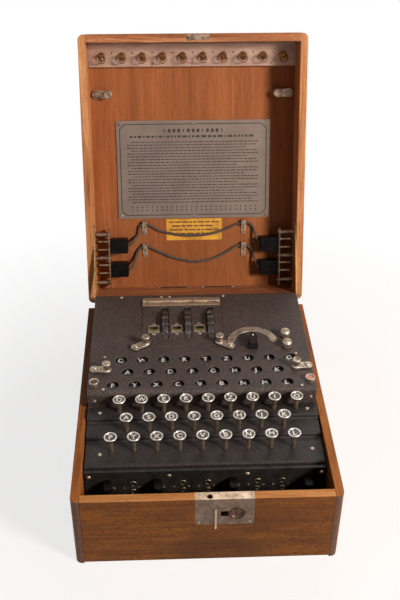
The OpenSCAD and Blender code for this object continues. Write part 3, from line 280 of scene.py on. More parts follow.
def soft_lamp(name, stand, size, power, colour=(1, 1, 1)):
    """A square lamp that stands somewhere and shines on the machine"""
    light = bpy.data.lights.new(name, "AREA")
    light.size, light.energy, light.color = size, power, colour
    lamp = bpy.data.objects.new(name, light)
    aim = LAMPS_AIM_AT - Vector(stand)
    lamp.matrix_world = Matrix.Translation(stand) @ aim.to_track_quat("-Z", "Y").to_matrix().to_4x4()
    scene.collection.objects.link(lamp)


floor_mesh = bpy.data.meshes.new("floor")
bm = bmesh.new()
bmesh.ops.create_grid(bm, x_segments=1, y_segments=1, size=FLOOR_REACH)
bm.to_mesh(floor_mesh)
bm.free()
floor_mesh.materials.append(table_finish())
floor = bpy.data.objects.new("floor", floor_mesh)
scene.collection.objects.link(floor)

soft_lamp("key_lamp", (1.42, -1.15, 1.22), 0.45, 58, (1, 0.96, 0.9))
soft_lamp("fill_lamp", (-1.6, -0.7, 1.2), 1.4, 0.6, (1, 0.97, 0.94))
soft_lamp("rear_lamp", (0.5, 1.5, 1.7), 1.2, 9)

world = bpy.data.worlds.new("studio")
world.use_nodes = True
scene.world = world
backdrop = world.node_tree.nodes["Background"]
backdrop.inputs["Color"].default_value = grey(1)
rays = add(world, "LightPath", {}).outputs
direct = add(world, "Math", {0: rays["Is Camera Ray"], 1: rays["Is Glossy Ray"]}, operation="MAXIMUM")
strength = add(world, "MapRange", {"Value": direct, "To Min": WORLD_LIGHT, "To Max": 1.0})
world.node_tree.links.new(strength.outputs[0], backdrop.inputs["Strength"])

# ---- Oak case -------------------------------------------------------------------------------------------------
# Solid oak boards under worn varnish. Side walls, rear wall and bottom board are glued up; the grain runs along each
# board, and the ends of the side walls show it cut across.
OAK_DARK, OAK_MID, OAK_LIGHT = seen(84, 42, 14), seen(152, 86, 36), seen(188, 120, 60)
# what stands between the side walls lies within this half width
INSIDE_HALF_W = 130.97
# turns of a grain from the X axis
ACROSS, LENGTHWISE = 0, math.pi / 2


def turned(first, second):
    """Two turns of a pattern, the first about X, the second about the new Z, as one"""
    return (Matrix.Rotation(first, 3, "X") @ Matrix.Rotation(second, 3, "Z")).to_euler()


def eased(made, radius):
    """The surface direction with its edges rounded over, and how near a point lies to an edge, from 0 to 1"""
    rounded = add(made, "Bevel", {"Radius": radius}, samples=4)
    flat = add(made, "NewGeometry", {}).outputs["Normal"]
    same = add(made, "VectorMath", {0: rounded, 1: flat}, operation="DOT_PRODUCT").outputs["Value"]
    near = add(made, "MapRange", {"Value": same, "From Min": 0.97, "From Max": 0.72, "To Min": 0, "To Max": 1})
    return rounded, near


def oak(name, dark, mid, light, grain, lid=False, soil=0.5, fleck=0.3, deep=None):
    """Varnished oak with its grain turned to one axis: broad figure, fine pores, short dark flecks, patches of soil and
    edges rubbed pale. deep is the colour of pores, flecks and soil."""
    made = new_finish(name, mid, 0.45, sockets={"Specular IOR Level": 0.14})
    turn = turned(-LID_OPEN if lid else 0, grain)
    figure = noise(made, sized(made, (0.11, 0.006, 0.006), turn), 6, 0.65, 0.8)
    fibre = noise(made, sized(made, (0.02, 0.0008, 0.0008), turn), 3, 0.65, 0.3)
    pores = noise(made, sized(made, (0.0065, 0.0006, 0.0006), turn), 2, 0.5, 0.6)
    patches = noise(made, sized(made, (0.09, 0.05, 0.05), turn), 3, 0.6)
    body = ramp(made, figure, (0.24, dark), (0.5, mid), (0.78, light))
    body = mix(made, 0.55, body.outputs[0], ramp(made, fibre, (0.25, grey(0.35)), (0.75, grey(0.72))).outputs[0],
               "OVERLAY")
    pits = ramp(made, pores, (0.6, grey(0)), (0.72, grey(0.75)))
    deep = deep or dark
    body = mix(made, pits.outputs[0], body, deep)
    flecks = noise(made, sized(made, (0.0046, 0.0017, 0.0017), turn), 4, 0.75, 1.2)
    body = mix(made, ramp(made, flecks, (0.53, grey(0)), (0.61, grey(fleck))).outputs[0], body, deep)
    stain = ramp(made, patches, (0.42, grey(0)), (0.68, grey(soil)))
    body = mix(made, stain.outputs[0], body, deep)
    rounded, edge = eased(made, 0.0014)
    rub = add(made, "Math", {0: edge, 1: patches}, operation="MULTIPLY")
    body = mix(made, rub.outputs[0], body, light)
    feed(made, "Base Color", body)
    feed(made, "Roughness", ramp(made, fibre, (0.2, grey(0.36)), (0.8, grey(0.56))))
    depth = add(made, "Math", {0: fibre, 1: pits.outputs[0]}, operation="SUBTRACT")
    relief(made, depth, 0.00012, rounded)
    return made


def end_grain(name, dark, light):
    """Oak cut across the grain: darker, dry and finely speckled"""
    made = new_finish(name, dark, 0.7)
    rings = noise(made, sized(made, (0.004, 0.03, 0.0022)), 6, 0.7, 1.0)
    specks = noise(made, sized(made, (0.0008,) * 3), 3, 0.7)
    body = ramp(made, rings, (0.35, dark), (0.7, light))
    rounded, edge = eased(made, 0.0014)
    feed(made, "Base Color", mix(made, ramp(made, specks, (0.45, grey(0)), (0.65, grey(0.6))), body.outputs[0], dark))
    relief(made, specks, 0.0001, rounded)
    return made


def dress(name, finishes, choose=None):
    """Gives a CAD node its finishes. choose picks one for each face from its middle and direction."""
    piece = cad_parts[name]
    piece.data.materials.clear()
    for made in finishes:
        piece.data.materials.append(made)
    for face in piece.data.polygons:
        face.material_index = choose(face.center / MM, face.normal) if choose else 0


oak_side = oak("oak_side_walls", OAK_DARK, OAK_MID, OAK_LIGHT, LENGTHWISE, soil=0.55)
oak_cross = oak("oak_rear_and_floor", OAK_DARK, OAK_MID, OAK_LIGHT, ACROSS, soil=0.6)
oak_ends = end_grain("oak_end_grain", seen(58, 36, 22), seen(112, 70, 42))
dress("oak_case", [oak_side, oak_cross, oak_ends],
      lambda spot, facing: 1 if abs(spot.x) < INSIDE_HALF_W else (2 if abs(facing.y) > 0.7 else 0))

# ---- Metal on the case ----------------------------------------------------------------------------------------
# Hinges, swivel clamps, terminals and scales are brass under thin nickel, yellowed and dull with age, and bright
# where hands and tools have rubbed the edges. Wax fills the cups of two posts at the sides of the deck.
NICKEL, NICKEL_TARNISH, NICKEL_BRIGHT = seen(184, 168, 150), seen(116, 94, 76), seen(230, 220, 206)


def old_nickel(name, base, tarnish, bright, rough=0.36):
    """Plated or bare metal of some age: clouded, spotted with tarnish, bright along its edges"""
    made = new_finish(name, base, rough, 1.0)
    clouds = noise(made, sized(made, (0.006,) * 3), 6, 0.65, 0.5)
    specks = noise(made, sized(made, (0.0012,) * 3), 4, 0.7)
    rounded, edge = eased(made, 0.0006)
    body = ramp(made, clouds, (0.35, tarnish), (0.6, base), (0.85, bright))
    spots = ramp(made, specks, (0.62, grey(0)), (0.74, grey(0.7)))
    body = mix(made, spots.outputs[0], body.outputs[0], tarnish)
    feed(made, "Base Color", mix(made, edge.outputs[0], body, bright))
    feed(made, "Roughness", ramp(made, clouds, (0.3, grey(rough + 0.2)), (0.7, grey(rough))))
    relief(made, specks, 0.00003, rounded)
    return made


nickel = old_nickel("old_nickel", NICKEL, NICKEL_TARNISH, NICKEL_BRIGHT)
hinge_nickel = old_nickel("hinge_nickel", seen(176, 150, 124), seen(140, 114, 90), seen(206, 184, 158), 0.46)


def sealing_wax(name, low, high):
    """Brittle wax with a gritty surface"""
    made = new_finish(name, low, 0.5, 0.3)
    grit = noise(made, sized(made, (0.0014,) * 3), 5)
    feed(made, "Base Color", ramp(made, grit, (0.3, low), (0.7, high)))
    relief(made, grit, 0.0003)
    return made


seals = [sealing_wax("brown_seal", seen(62, 40, 32), seen(112, 76, 62)),
         sealing_wax("rosy_seal", seen(170, 92, 78), seen(226, 150, 132))]
SEALS_AT, SEAL_R, SEAL_Y = (-122, 123.5), 4.15, -15.6
DECK_TOP, POST_H, WAX_BELOW_RIM = 117, 5, 0.9
LONG_HINGE_X, LONG_HINGE_HALF, LONG_HINGE_FRONT = -19.8, 49.5, 140


def fitting_finish(spot, facing):
    """Wax in the two posts, duller nickel on the cover's long hinge, nickel elsewhere"""
    if spot.z > DECK_TOP:
        for k, x in enumerate(SEALS_AT):
            if math.hypot(spot.x - x, spot.y - SEAL_Y) < SEAL_R and spot.z < DECK_TOP + POST_H - WAX_BELOW_RIM:
                return 1 + k
        if spot.y > LONG_HINGE_FRONT and abs(spot.x - LONG_HINGE_X) < LONG_HINGE_HALF:
            return 3
    return 0


dress("case_fittings", [nickel, *seals, hinge_nickel], fitting_finish)
for clamp in ("clamp_rear_left", "clamp_rear_right", "clamp_front_left", "clamp_front_right"):
    dress(clamp, [nickel])

# ---- Decks ----------------------------------------------------------------------------------------------------
# Two folded steel sheets, screwed to battens in the case, carry the lamps and the keys. Their baked black crackle paint
# is brown with dust and rubbed grey along every edge.
def crackle_paint(name, dark, light, worn):
    """Baked paint with a fine crackle, its pale flecks painted glints, dust in patches and edges rubbed through"""
    made = new_finish(name, dark, 0.5, sockets={"Specular IOR Level": 0.3})
    crackle = noise(made, sized(made, (0.0018,) * 3), 4, 0.85, 0.4)
    dust = noise(made, sized(made, (0.045,) * 3), 5, 0.6)
    scuffs = noise(made, sized(made, (0.004,) * 3), 6, 0.7, 0.8)
    rounded, edge = eased(made, 0.0007)
    # painted highlight: the crackle's pale stops are glints painted into the colour over its real relief; light is also
    # the dust
    body = ramp(made, crackle, (0.4, dark), (0.66, light))
    haze = ramp(made, dust, (0.45, grey(0)), (0.75, grey(0.3)))
    body = mix(made, haze.outputs[0], body.outputs[0], light)
    rubbed = add(made, "Math", {0: edge, 1: ramp(made, scuffs, (0.3, grey(0.25)), (0.7, grey(1))).outputs[0]},
                 operation="MULTIPLY")
    feed(made, "Base Color", mix(made, rubbed.outputs[0], body, worn))
    feed(made, "Roughness", ramp(made, crackle, (0.3, grey(0.42)), (0.7, grey(0.6))))
    relief(made, crackle, 0.00012, rounded)
    return made


# The second colour of each paint is both its painted glint and its dust.
deck_paint = crackle_paint("black_crackle_paint", seen(14, 10, 9), seen(104, 87, 81), seen(156, 138, 124))
# painted shade: the key deck takes a darker copy of the lamp deck's paint
shaded_key_deck_paint = crackle_paint("shaded_crackle_paint", seen(10, 7, 6), seen(60, 50, 46), seen(140, 120, 106))
dress("lamp_deck", [deck_paint])
dress("key_deck", [shaded_key_deck_paint])

# ---- Lamp windows ---------------------------------------------------------------------------------------------
# A black film on a metal mask lies under the 26 holes of the lamp deck, with one clear letter for each lamp. The
# letters show white. The small glass lamps stand on a board below.
ROWS = ("QWERTZUIO", "ASDFGHJK", "PYXCVBNML")
ROW_START = (-93, -84.8, -101.2)
LETTER_PITCH = 24.8
LAMP_ROWS = (26.5, 4.8, -17.5)
FILM_TOP = 113.2
# heights between which the lamps' glass lies
LAMPS_FROM, LAMPS_TO = 97.02, 109
LAMP_LETTER = 9.6
LETTER_BACK = 3.6
INK_LIFT = 0.03


def mottled(name, colour, rough, grain, detail, low, high, sockets=(), grain_rough=0.55):
    """A finish in two tones that a fine noise mixes; low and high are stops of its ramp"""
    made = new_finish(name, colour, rough, sockets=sockets)
    tones = noise(made, sized(made, (grain,) * 3), detail, grain_rough)
    feed(made, "Base Color", ramp(made, tones, low, high))
    return made


film_black = mottled("letter_film", seen(40, 36, 36), 0.35, 0.02, 5, (0.3, seen(30, 27, 27)), (0.7, seen(56, 50, 48)))
lamp_glass = new_finish("frosted_lamp", seen(214, 206, 190), 0.25)
letter_white = mottled("letter_white", seen(222, 216, 206), 0.55, 0.004, 4, (0.3, seen(202, 196, 186)),
                       (0.7, seen(234, 228, 218)))


def lettering(text, size, bold=0.0):
    """Flat lettering as a mesh, centred, in metres"""
    curve = bpy.data.curves.new("lettering", "FONT")
    curve.body, curve.size, curve.offset = text, size * MM, bold * MM
    curve.align_x, curve.align_y = "CENTER", "CENTER"
    curve.resolution_u = 4
    holder = bpy.data.objects.new("lettering", curve)
    mesh = bpy.data.meshes.new_from_object(holder)
    bpy.data.objects.remove(holder)
    return mesh


def stamp(bm, mesh, place, finish=0):
    """Adds a mesh to a piece under construction, carried to its place"""
    verts, faces = len(bm.verts), len(bm.faces)
    bm.from_mesh(mesh)
    bm.verts.ensure_lookup_table()
    bm.faces.ensure_lookup_table()
    bmesh.ops.transform(bm, matrix=place, verts=bm.verts[verts:])
    for face in bm.faces[faces:]:
        face.material_index = finish


def close_piece(name, bm, finishes, body, smooth=False, outward=False):
    """Ends a piece under construction: doubles merged, faces outward if asked, placed on its body"""
    if outward:
        bmesh.ops.remove_doubles(bm, verts=bm.verts[:], dist=1e-6)
        bmesh.ops.recalc_face_normals(bm, faces=bm.faces[:])
    mesh = bpy.data.meshes.new(name)
    bm.to_mesh(mesh)
    bm.free()
    if smooth:
        mesh.shade_smooth()
        mesh.set_sharp_from_angle(angle=math.radians(38))
    return place_piece(name, mesh, finishes, body)


def at(x, y, z):
    """A shift, given in mm"""
    return Matrix.Translation(Vector((x, y, z)) * MM)


dress("lamp_panel", [film_black, lamp_glass], lambda spot, facing: 1 if LAMPS_FROM < spot.z < LAMPS_TO else 0)
bm = bmesh.new()
for row, letters in enumerate(ROWS):
    for i, letter in enumerate(letters):
        stamp(bm, lettering(letter, LAMP_LETTER, 0.26),
              at(ROW_START[row] + i * LETTER_PITCH, LAMP_ROWS[row] + LETTER_BACK, FILM_TOP + INK_LIFT))
close_piece("lamp_letters", bm, [letter_white], "case")

# ---- Keys -----------------------------------------------------------------------------------------------------
# Typewriter keys: a turned nickel ring holds a clear disc over a black paper with a white letter, on a brass stem
# darkened by oil.
KEY_ROWS = (-40, -64.5, -90)
KEY_TOP, KEY_DROP = 116.4, 4.25
KEY_DISC_R, KEY_DISH, KEY_CAP = 5.35, 1.5, 5
STEM_WITHIN = 3
KEY_LETTER = 8.8

key_ring = old_nickel("key_ring", seen(214, 208, 200), seen(150, 138, 124), seen(248, 246, 240), 0.2)
key_stem = old_nickel("key_stem", seen(176, 154, 132), seen(108, 88, 70), seen(216, 200, 178), 0.4)
key_paper = mottled("key_disc", seen(44, 36, 31), 0.4, 0.006, 5, (0.35, seen(36, 28, 24)), (0.75, seen(74, 60, 52)),
                    {"Coat Weight": 0.25, "Coat Roughness": 0.15, "Coat Tint": seen(255, 232, 210)})
key_white = mottled("key_letter", seen(226, 218, 206), 0.6, 0.003, 4, (0.3, seen(204, 196, 184)),
                    (0.7, seen(244, 238, 228)))


def key_finish(x, y, top):
    """Chooses a key's finish: 1 for the paper in its dish, 2 for its stem, 0 for its ring"""
    def choose(spot, facing):
        off = math.hypot(spot.x - x, spot.y - y)
        if off < KEY_DISC_R and facing.z > 0.9 and spot.z > top - KEY_DISH - 0.5:
            return 1
        return 2 if off < STEM_WITHIN and spot.z < top - KEY_CAP else 0
    return choose


for row, letters in enumerate(ROWS):
    for i, letter in enumerate(letters):
        x, y, top = ROW_START[row] + i * LETTER_PITCH, KEY_ROWS[row], KEY_TOP - row * KEY_DROP
        name = "key_" + letter.lower()
        dress(name, [key_ring, key_paper, key_stem], key_finish(x, y, top))
        bm = bmesh.new()
        stamp(bm, lettering(letter, KEY_LETTER, 0.25), at(x, y, top - KEY_DISH + INK_LIFT))
        close_piece(name + "_letter", bm, [key_white], name)

# ---- Chassis and rotors ---------------------------------------------------------------------------------------
# The plated steel frame under the decks is hidden but for what shows through the cover. The rotors are dark steel
# with a brass number ring; their serrated thumb wheels stand up through the cover.
ROTOR_X, ROTOR_Y, SPINDLE = (-54.6, -26.7, 1.2), 97, 75
RING_R, RING_HALF = 39.5, 6.5
FIRST_NUMBER = math.radians(17)
DIGIT = 5.4

plated_steel = old_nickel("plated_steel", seen(150, 148, 142), seen(104, 98, 88), seen(196, 194, 188), 0.45)
ebonite = mottled("ebonite", seen(30, 27, 26), 0.42, 0.012, 6, (0.3, seen(22, 20, 20)), (0.7, seen(48, 42, 38)),
                  {"Specular IOR Level": 0.25})
rotor_steel = old_nickel("rotor_steel", seen(84, 74, 72), seen(46, 39, 37), seen(160, 148, 142), 0.42)
ring_brass = old_nickel("ring_brass", seen(190, 168, 120), seen(120, 96, 58), seen(224, 208, 168), 0.4)
ink_black = new_finish("engraved_black", seen(24, 22, 20), 0.6)

dress("chassis", [plated_steel])
for k, rotor in enumerate(("rotor_left", "rotor_middle", "rotor_right")):
    x = ROTOR_X[k]
    dress(rotor, [rotor_steel, ring_brass],
          lambda spot, facing, x=x: 1 if abs(spot.x - x) < RING_HALF + 0.1
          and abs(math.hypot(spot.y - ROTOR_Y, spot.z - SPINDLE) - RING_R) < 1 else 0)
    bm = bmesh.new()
    for n in range(26):
        around = Matrix.Rotation(n * math.tau / 26 + FIRST_NUMBER, 4, "X")
        stamp(bm, lettering("%02d" % (n + 1), DIGIT, 0.1),
              at(x, ROTOR_Y, SPINDLE) @ around @ at(0, 0, RING_R + INK_LIFT + 0.05))
    close_piece(rotor + "_numbers", bm, [ink_black], rotor)

# ---- Rotor cover ----------------------------------------------------------------------------------------------
# A flap of the same black sheet, hung on a long nickel hinge at its rear edge. A thin nickelled brass frame is screwed
# round each of its three windows.
COVER_TOP, COVER_HINGE_FRONT = DECK_TOP + 0.6, 120
frame_brass = old_nickel("window_brass", seen(176, 160, 138), seen(104, 86, 66), seen(220, 208, 190), 0.38)
dress("rotor_cover", [deck_paint, hinge_nickel, frame_brass],
      lambda spot, facing: 0 if spot.z < COVER_TOP + 0.02 else (1 if spot.y > COVER_HINGE_FRONT else 2))

# ---- Switch and terminals -------------------------------------------------------------------------------------
# A moulded black bar knob with a white dot turns over a half-round metal scale, engraved with ticks and figures. The
# two studs beside it, for the battery leads, belong to the case's fittings.
SWITCH_AT, SWITCH_TOP = (64, 55), 127
SCALE_R, SCALE_TOP = 25.9, DECK_TOP + 0.8
TICKS, FIRST_TICK, TICK_STEP = 24, 12, 6.8
knob_black = mottled("switch_moulding", seen(18, 17, 17), 0.25, 0.005, 5, (0.3, seen(12, 11, 11)),
                     (0.7, seen(34, 31, 30)), {"Coat Weight": 0.4})
dress("switch_knob", [knob_black])
bm = bmesh.new()
bmesh.ops.create_uvsphere(bm, u_segments=20, v_segments=10, radius=1.3 * MM,
                          matrix=at(SWITCH_AT[0], SWITCH_AT[1] + 2.4, SWITCH_TOP - 0.5))
close_piece("switch_dot", bm, [letter_white], "switch_knob", smooth=True)
bm = bmesh.new()
scale_middle = at(*SWITCH_AT, SCALE_TOP + INK_LIFT)
for step in range(TICKS):
    tick = scale_middle @ Matrix.Rotation(math.radians(FIRST_TICK + step * TICK_STEP), 4, "Z") @ at(SCALE_R - 2.2, 0, 0)
    bmesh.ops.create_grid(bm, x_segments=1, y_segments=1, size=1,
                          matrix=tick @ Matrix.Diagonal((1.4 * MM, 0.22 * MM, 1, 1)))
for label, angle in (("1", 150), ("2", 110), ("3", 70), ("4", 26)):
    stamp(bm, lettering(label, 2.6, 0.05), scale_middle @ Matrix.Rotation(math.radians(angle), 4, "Z")
          @ at(SCALE_R + 1.6, 0, 0) @ Matrix.Rotation(-math.pi / 2, 4, "Z"))
close_piece("scale_marks", bm, [ink_black], "case")

# ---- Plugboard ------------------------------------------------------------------------------------------------
# A black ebonite board across the front, screwed to the battens, holds 26 pairs of brass sockets with a number and a
# letter beside each pair. Four moulded plugs with brass pins are pushed into it.
plug_moulding = mottled("plug_moulding", seen(14, 11, 10), 0.35, 0.007, 5, (0.4, seen(8, 6, 6)),
                        (0.8, seen(24, 19, 17)), {"Specular IOR Level": 0.07})
board_ink = new_finish("board_ink", seen(146, 118, 88), 0.7)
socket_brass = old_nickel("socket_brass", seen(176, 160, 130), seen(96, 80, 56), seen(214, 204, 180), 0.3)
pin_brass = old_nickel("pin_brass", seen(160, 134, 104), seen(90, 68, 48), seen(216, 196, 166), 0.32)
BOARD_FACE, PIN_SHOWS = -118, 0.78
SOCKET_ROWS = ((58.1, -104.6, 9), (38.1, -95.6, 8), (18.1, -113.6, 9))
dress("plugboard", [ebonite])
dress("sockets", [socket_brass])
dress("board_plugs", [plug_moulding, pin_brass],
      lambda spot, facing: 1 if spot.y > BOARD_FACE - PIN_SHOWS else 0)
bm = bmesh.new()
outward = Matrix.Rotation(math.pi / 2, 4, "X")
order = 1
for letters, (height, start, count) in zip(ROWS, SOCKET_ROWS):
    for i in range(count):
        x = start + i * SOCKET_PITCH
        for text, aside in ((str(order), -9.6), (letters[i], 6.4)):
            stamp(bm, lettering(text, 4, 0.08), at(x + aside, BOARD_FACE - 0.04, height) @ outward)
        order += 1
close_piece("socket_numbers", bm, [board_ink], "case")

# ---- Front flap -----------------------------------------------------------------------------------------------
# One oak board, dark and flecked in front, hinged at its foot; its upward faces take a paler copy of the oak, painted
# light from above. A steel lock with a round finger dish is let into it and screwed in front and on top; its small
# window is a flat black patch of painted shade.
FRONT, FLAP_TOP, FLAP_HINGES_TOP = -170, 94.1, 45
LOCK_X, LOCK_Z = 17.6, 75.1
DISH_AT, DISH_RIM, WINDOW_AT, WINDOW_SIZE = (30.1, 72.3), 8.4, (17.4, 72.3), (8, 7.2)
flap_oak = oak("oak_flap", seen(82, 44, 12), seen(108, 62, 16), seen(136, 82, 24), ACROSS, soil=0.45, fleck=0.85,
               deep=seen(44, 22, 8))
# painted light: a paler copy of the flap's oak for its upward faces
flap_lit_top = oak("oak_flap_lit_top", seen(150, 92, 44), seen(192, 126, 70), seen(214, 154, 98), ACROSS, soil=0.2)
lock_steel = old_nickel("lock_steel", seen(124, 104, 90), seen(100, 82, 70), seen(146, 126, 110), 0.5)
lock_top = old_nickel("lock_top", seen(198, 174, 150), seen(160, 134, 110), seen(216, 196, 174), 0.4)
dish_steel = old_nickel("finger_dish", seen(104, 76, 68), seen(52, 36, 30), seen(186, 150, 136), 0.22)
# painted shade: the lock's small window is a flat black patch that reflects nothing, for its dark opening
window_painted_shade = new_finish("lock_window_shade", seen(14, 10, 9), 1.0, sockets={"Specular IOR Level": 0.0})


def flap_fitting_finish(spot, facing):
    """Nickel hinges, brighter metal on the lock's upper plate and in front of the board, dull steel elsewhere"""
    if spot.z < FLAP_HINGES_TOP:
        return 2
    return 1 if (facing.z > 0.9 and spot.z > FLAP_TOP - 0.1) or spot.y < FRONT - 0.5 else 0


# the flap's upward faces take the paler copy of its oak as painted light
dress("front_flap", [flap_oak, flap_lit_top], lambda spot, facing: 1 if facing.z > 0.8 else 0)
dress("flap_fittings", [lock_steel, lock_top, nickel], flap_fitting_finish)
dress("lock_slide", [dish_steel])


def slotted_head(bm, place, radius, finish=0):
    """A round-headed screw seen from outside: a low dome with a slot cut across it"""
    head = bmesh.ops.create_cone(bm, cap_ends=True, segments=20, radius1=radius * MM, radius2=radius * 0.8 * MM,
                                 depth=0.6 * MM, matrix=place @ at(0, 0, 0.3))
    slot = bmesh.ops.create_cube(bm, size=1, matrix=place @ at(0, 0, 0.6)
                                 @ Matrix.Diagonal((1.7 * radius * MM, 0.4 * MM, 0.06 * MM, 1)))
    for shape, index in ((head, finish), (slot, finish + 1)):
        for vert in shape["verts"]:
            for face in vert.link_faces:
                face.material_index = index


def turned_shape(bm, profile, place, finish, steps=28):
    """Spins a profile of radius and height, in mm, into a closed round shape"""
    first_face = len(bm.faces)
    verts = [bm.verts.new(place @ Vector((r * MM, 0, z * MM))) for r, z in profile]
    edges = [bm.edges.new(pair) for pair in zip(verts, verts[1:])]
    axis = (place.to_3x3() @ Vector((0, 0, 1))).normalized()
    bmesh.ops.spin(bm, geom=verts + edges, cent=place.translation, axis=axis, angle=math.tau, steps=steps,
                   use_merge=True)
    bm.faces.ensure_lookup_table()
    for face in bm.faces[first_face:]:
        face.material_index = finish


bm = bmesh.new()
for x in (-26.5, 26.5):
    slotted_head(bm, at(LOCK_X + x, FRONT + 5, FLAP_TOP - 0.55) @ Matrix.Rotation(0.5, 4, "Z"), 2.3)
    slotted_head(bm, at(LOCK_X + x, FRONT + 0.5, LOCK_Z - 15.5) @ outward @ Matrix.Rotation(x, 4, "Z"), 1.6)
close_piece("lock_screws", bm, [lock_top, ink_black], "flap", smooth=True)
# The lock window's painted shade: a flat black patch on the lock's face.
bm = bmesh.new()
bmesh.ops.create_grid(bm, x_segments=1, y_segments=1, size=0.5, matrix=at(WINDOW_AT[0], FRONT - INK_LIFT, WINDOW_AT[1])
                      @ outward @ Matrix.Diagonal((WINDOW_SIZE[0] * MM, WINDOW_SIZE[1] * MM, 1, 1)))
close_piece("lock_window_shade", bm, [window_painted_shade], "flap")
bm = bmesh.new()
ring = [(DISH_RIM - 1, 0), (DISH_RIM - 0.7, 0.35), (DISH_RIM, 0.5), (DISH_RIM + 0.6, 0.3), (DISH_RIM + 0.8, 0)]
turned_shape(bm, ring + ring[:1], at(DISH_AT[0], FRONT, DISH_AT[1]) @ outward, 0)
close_piece("dish_rim", bm, [dish_steel], "flap", smooth=True, outward=True)

# ---- Lid ------------------------------------------------------------------------------------------------------
# Four oak walls round a top board. Inside, the board is a redder wood with fine straight grain up the lid; the walls
# are the case's oak, painted paler for the light that falls on them. Two dark strips are let into the rear wall
# and screwed; two swivel catches hold the lid shut, and two brass stays hold it open.
END_WALLS = (10.03, 329.97)
STRIP_TOP, STRIP_FRONT, STRIPS_HALF_W = 91.5, 208, 54.5
STRIP_SCREWS = (-48.5, -7.5, 10.5, 51.5)
# painted light: the lid's walls take paler copies of the case's oak
lit_lid_sides_oak = oak("lit_oak_lid_sides", seen(128, 74, 42), seen(196, 130, 82), seen(226, 172, 124), LENGTHWISE, lid=True,
                 soil=0.35)
lit_lid_ends_oak = oak("lit_oak_lid_ends", seen(108, 60, 34), seen(172, 108, 70), seen(208, 150, 108), ACROSS, lid=True,
                     soil=0.4)
lid_outside = oak("oak_lid_top", OAK_DARK, OAK_MID, OAK_LIGHT, LENGTHWISE, lid=True)


def panel_wood():
    """Reddish ribboned veneer: long narrow streaks up the lid"""
    made = new_finish("lid_panel_veneer", seen(158, 88, 52), 0.5, sockets={"Specular IOR Level": 0.12})
    turn = turned(-LID_OPEN, LENGTHWISE)
    ribbon = noise(made, sized(made, (0.5, 0.02, 0.02), turn), 4, 0.55, 0.4)
    streak = noise(made, sized(made, (0.05, 0.0013, 0.0013), turn), 3, 0.6, 0.2)
    pores = noise(made, sized(made, (0.009, 0.0006, 0.0006), turn), 2, 0.5)
    age = noise(made, sized(made, (0.12,) * 3), 3)
    body = ramp(made, ribbon, (0.3, seen(136, 78, 42)), (0.7, seen(164, 98, 58)))
    body = mix(made, 0.6, body.outputs[0], ramp(made, streak, (0.25, grey(0.3)), (0.75, grey(0.7))).outputs[0],
               "OVERLAY")
    body = mix(made, ramp(made, pores, (0.58, grey(0)), (0.7, grey(0.55))).outputs[0], body, seen(92, 42, 22))
    body = mix(made, ramp(made, age, (0.4, grey(0)), (0.75, grey(0.35))).outputs[0], body, seen(120, 60, 32))
    feed(made, "Base Color", body)
    relief(made, streak, 0.00008)
    return made


# the way off the lid's inner face
FACE_OFF = Vector((0, -math.sin(LID_OPEN), -math.cos(LID_OPEN)))
panel_veneer = panel_wood()


def lid_wood(spot, facing):
    """The lid's wood at a face: 0 its side walls, 1 its end walls, 2 the board inside, 3 the board outside"""
    if abs(spot.x) > INSIDE_HALF_W:
        return 0
    here = spot * MM - in_lid(0, 0, 0)
    up = here.dot(Vector((0, -math.cos(LID_OPEN), math.sin(LID_OPEN)))) / MM
    if not END_WALLS[0] <= up <= END_WALLS[1]:
        return 1
    return 2 if facing.dot(FACE_OFF) > 0.5 else 3


dress("lid_frame", [lit_lid_sides_oak, lit_lid_ends_oak, panel_veneer, lid_outside], lid_wood)
catch_nickel = old_nickel("catch_nickel", seen(158, 132, 112), seen(92, 70, 54), seen(222, 204, 184), 0.4)
strip_steel = old_nickel("strip_steel", seen(100, 76, 64), seen(62, 46, 38), seen(150, 120, 104), 0.6)
dress("lid_fittings", [catch_nickel, strip_steel],
      lambda spot, facing: 1 if spot.z < STRIP_TOP and spot.y > STRIP_FRONT and abs(spot.x) < STRIPS_HALF_W else 0)
bm = bmesh.new()
for x in STRIP_SCREWS:
    slotted_head(bm, LID_FACE @ at(x, 10, 4) @ Matrix.Rotation(-math.pi / 2, 4, "X"), 2.6)
close_piece("strip_screws", bm, [nickel, ink_black], "lid", smooth=True)
stay_brass = old_nickel("stay_brass", seen(158, 132, 88), seen(96, 72, 42), seen(196, 176, 136), 0.38)
for side in ("left", "right"):
    dress("lid_catch_" + side, [catch_nickel])
    dress("stay_" + side, [stay_brass])

# ---- Spare bulbs ----------------------------------------------------------------------------------------------
# Ten clear bulbs with threaded brass caps are screwed into a painted metal bar near the lid's front wall, and lean
# a little towards its hinges.
BULB_UP, BAR_T, BULB_PITCH = 314, 8, 25.4
bar_paint = new_finish("bar_paint", seen(126, 102, 92), 0.5, 0.2)
bar_clouds = noise(bar_paint, sized(bar_paint, (0.03, 0.006, 0.006)), 6, 0.6)
bar_round, bar_edge = eased(bar_paint, 0.0008)
bar_body = ramp(bar_paint, bar_clouds, (0.3, seen(140, 106, 90)), (0.7, seen(178, 144, 124)))
feed(bar_paint, "Base Color", mix(bar_paint, bar_edge.outputs[0], bar_body.outputs[0], seen(184, 164, 148)))
relief(bar_paint, bar_clouds, 0.00005, bar_round)
dress("bulb_bar", [bar_paint])

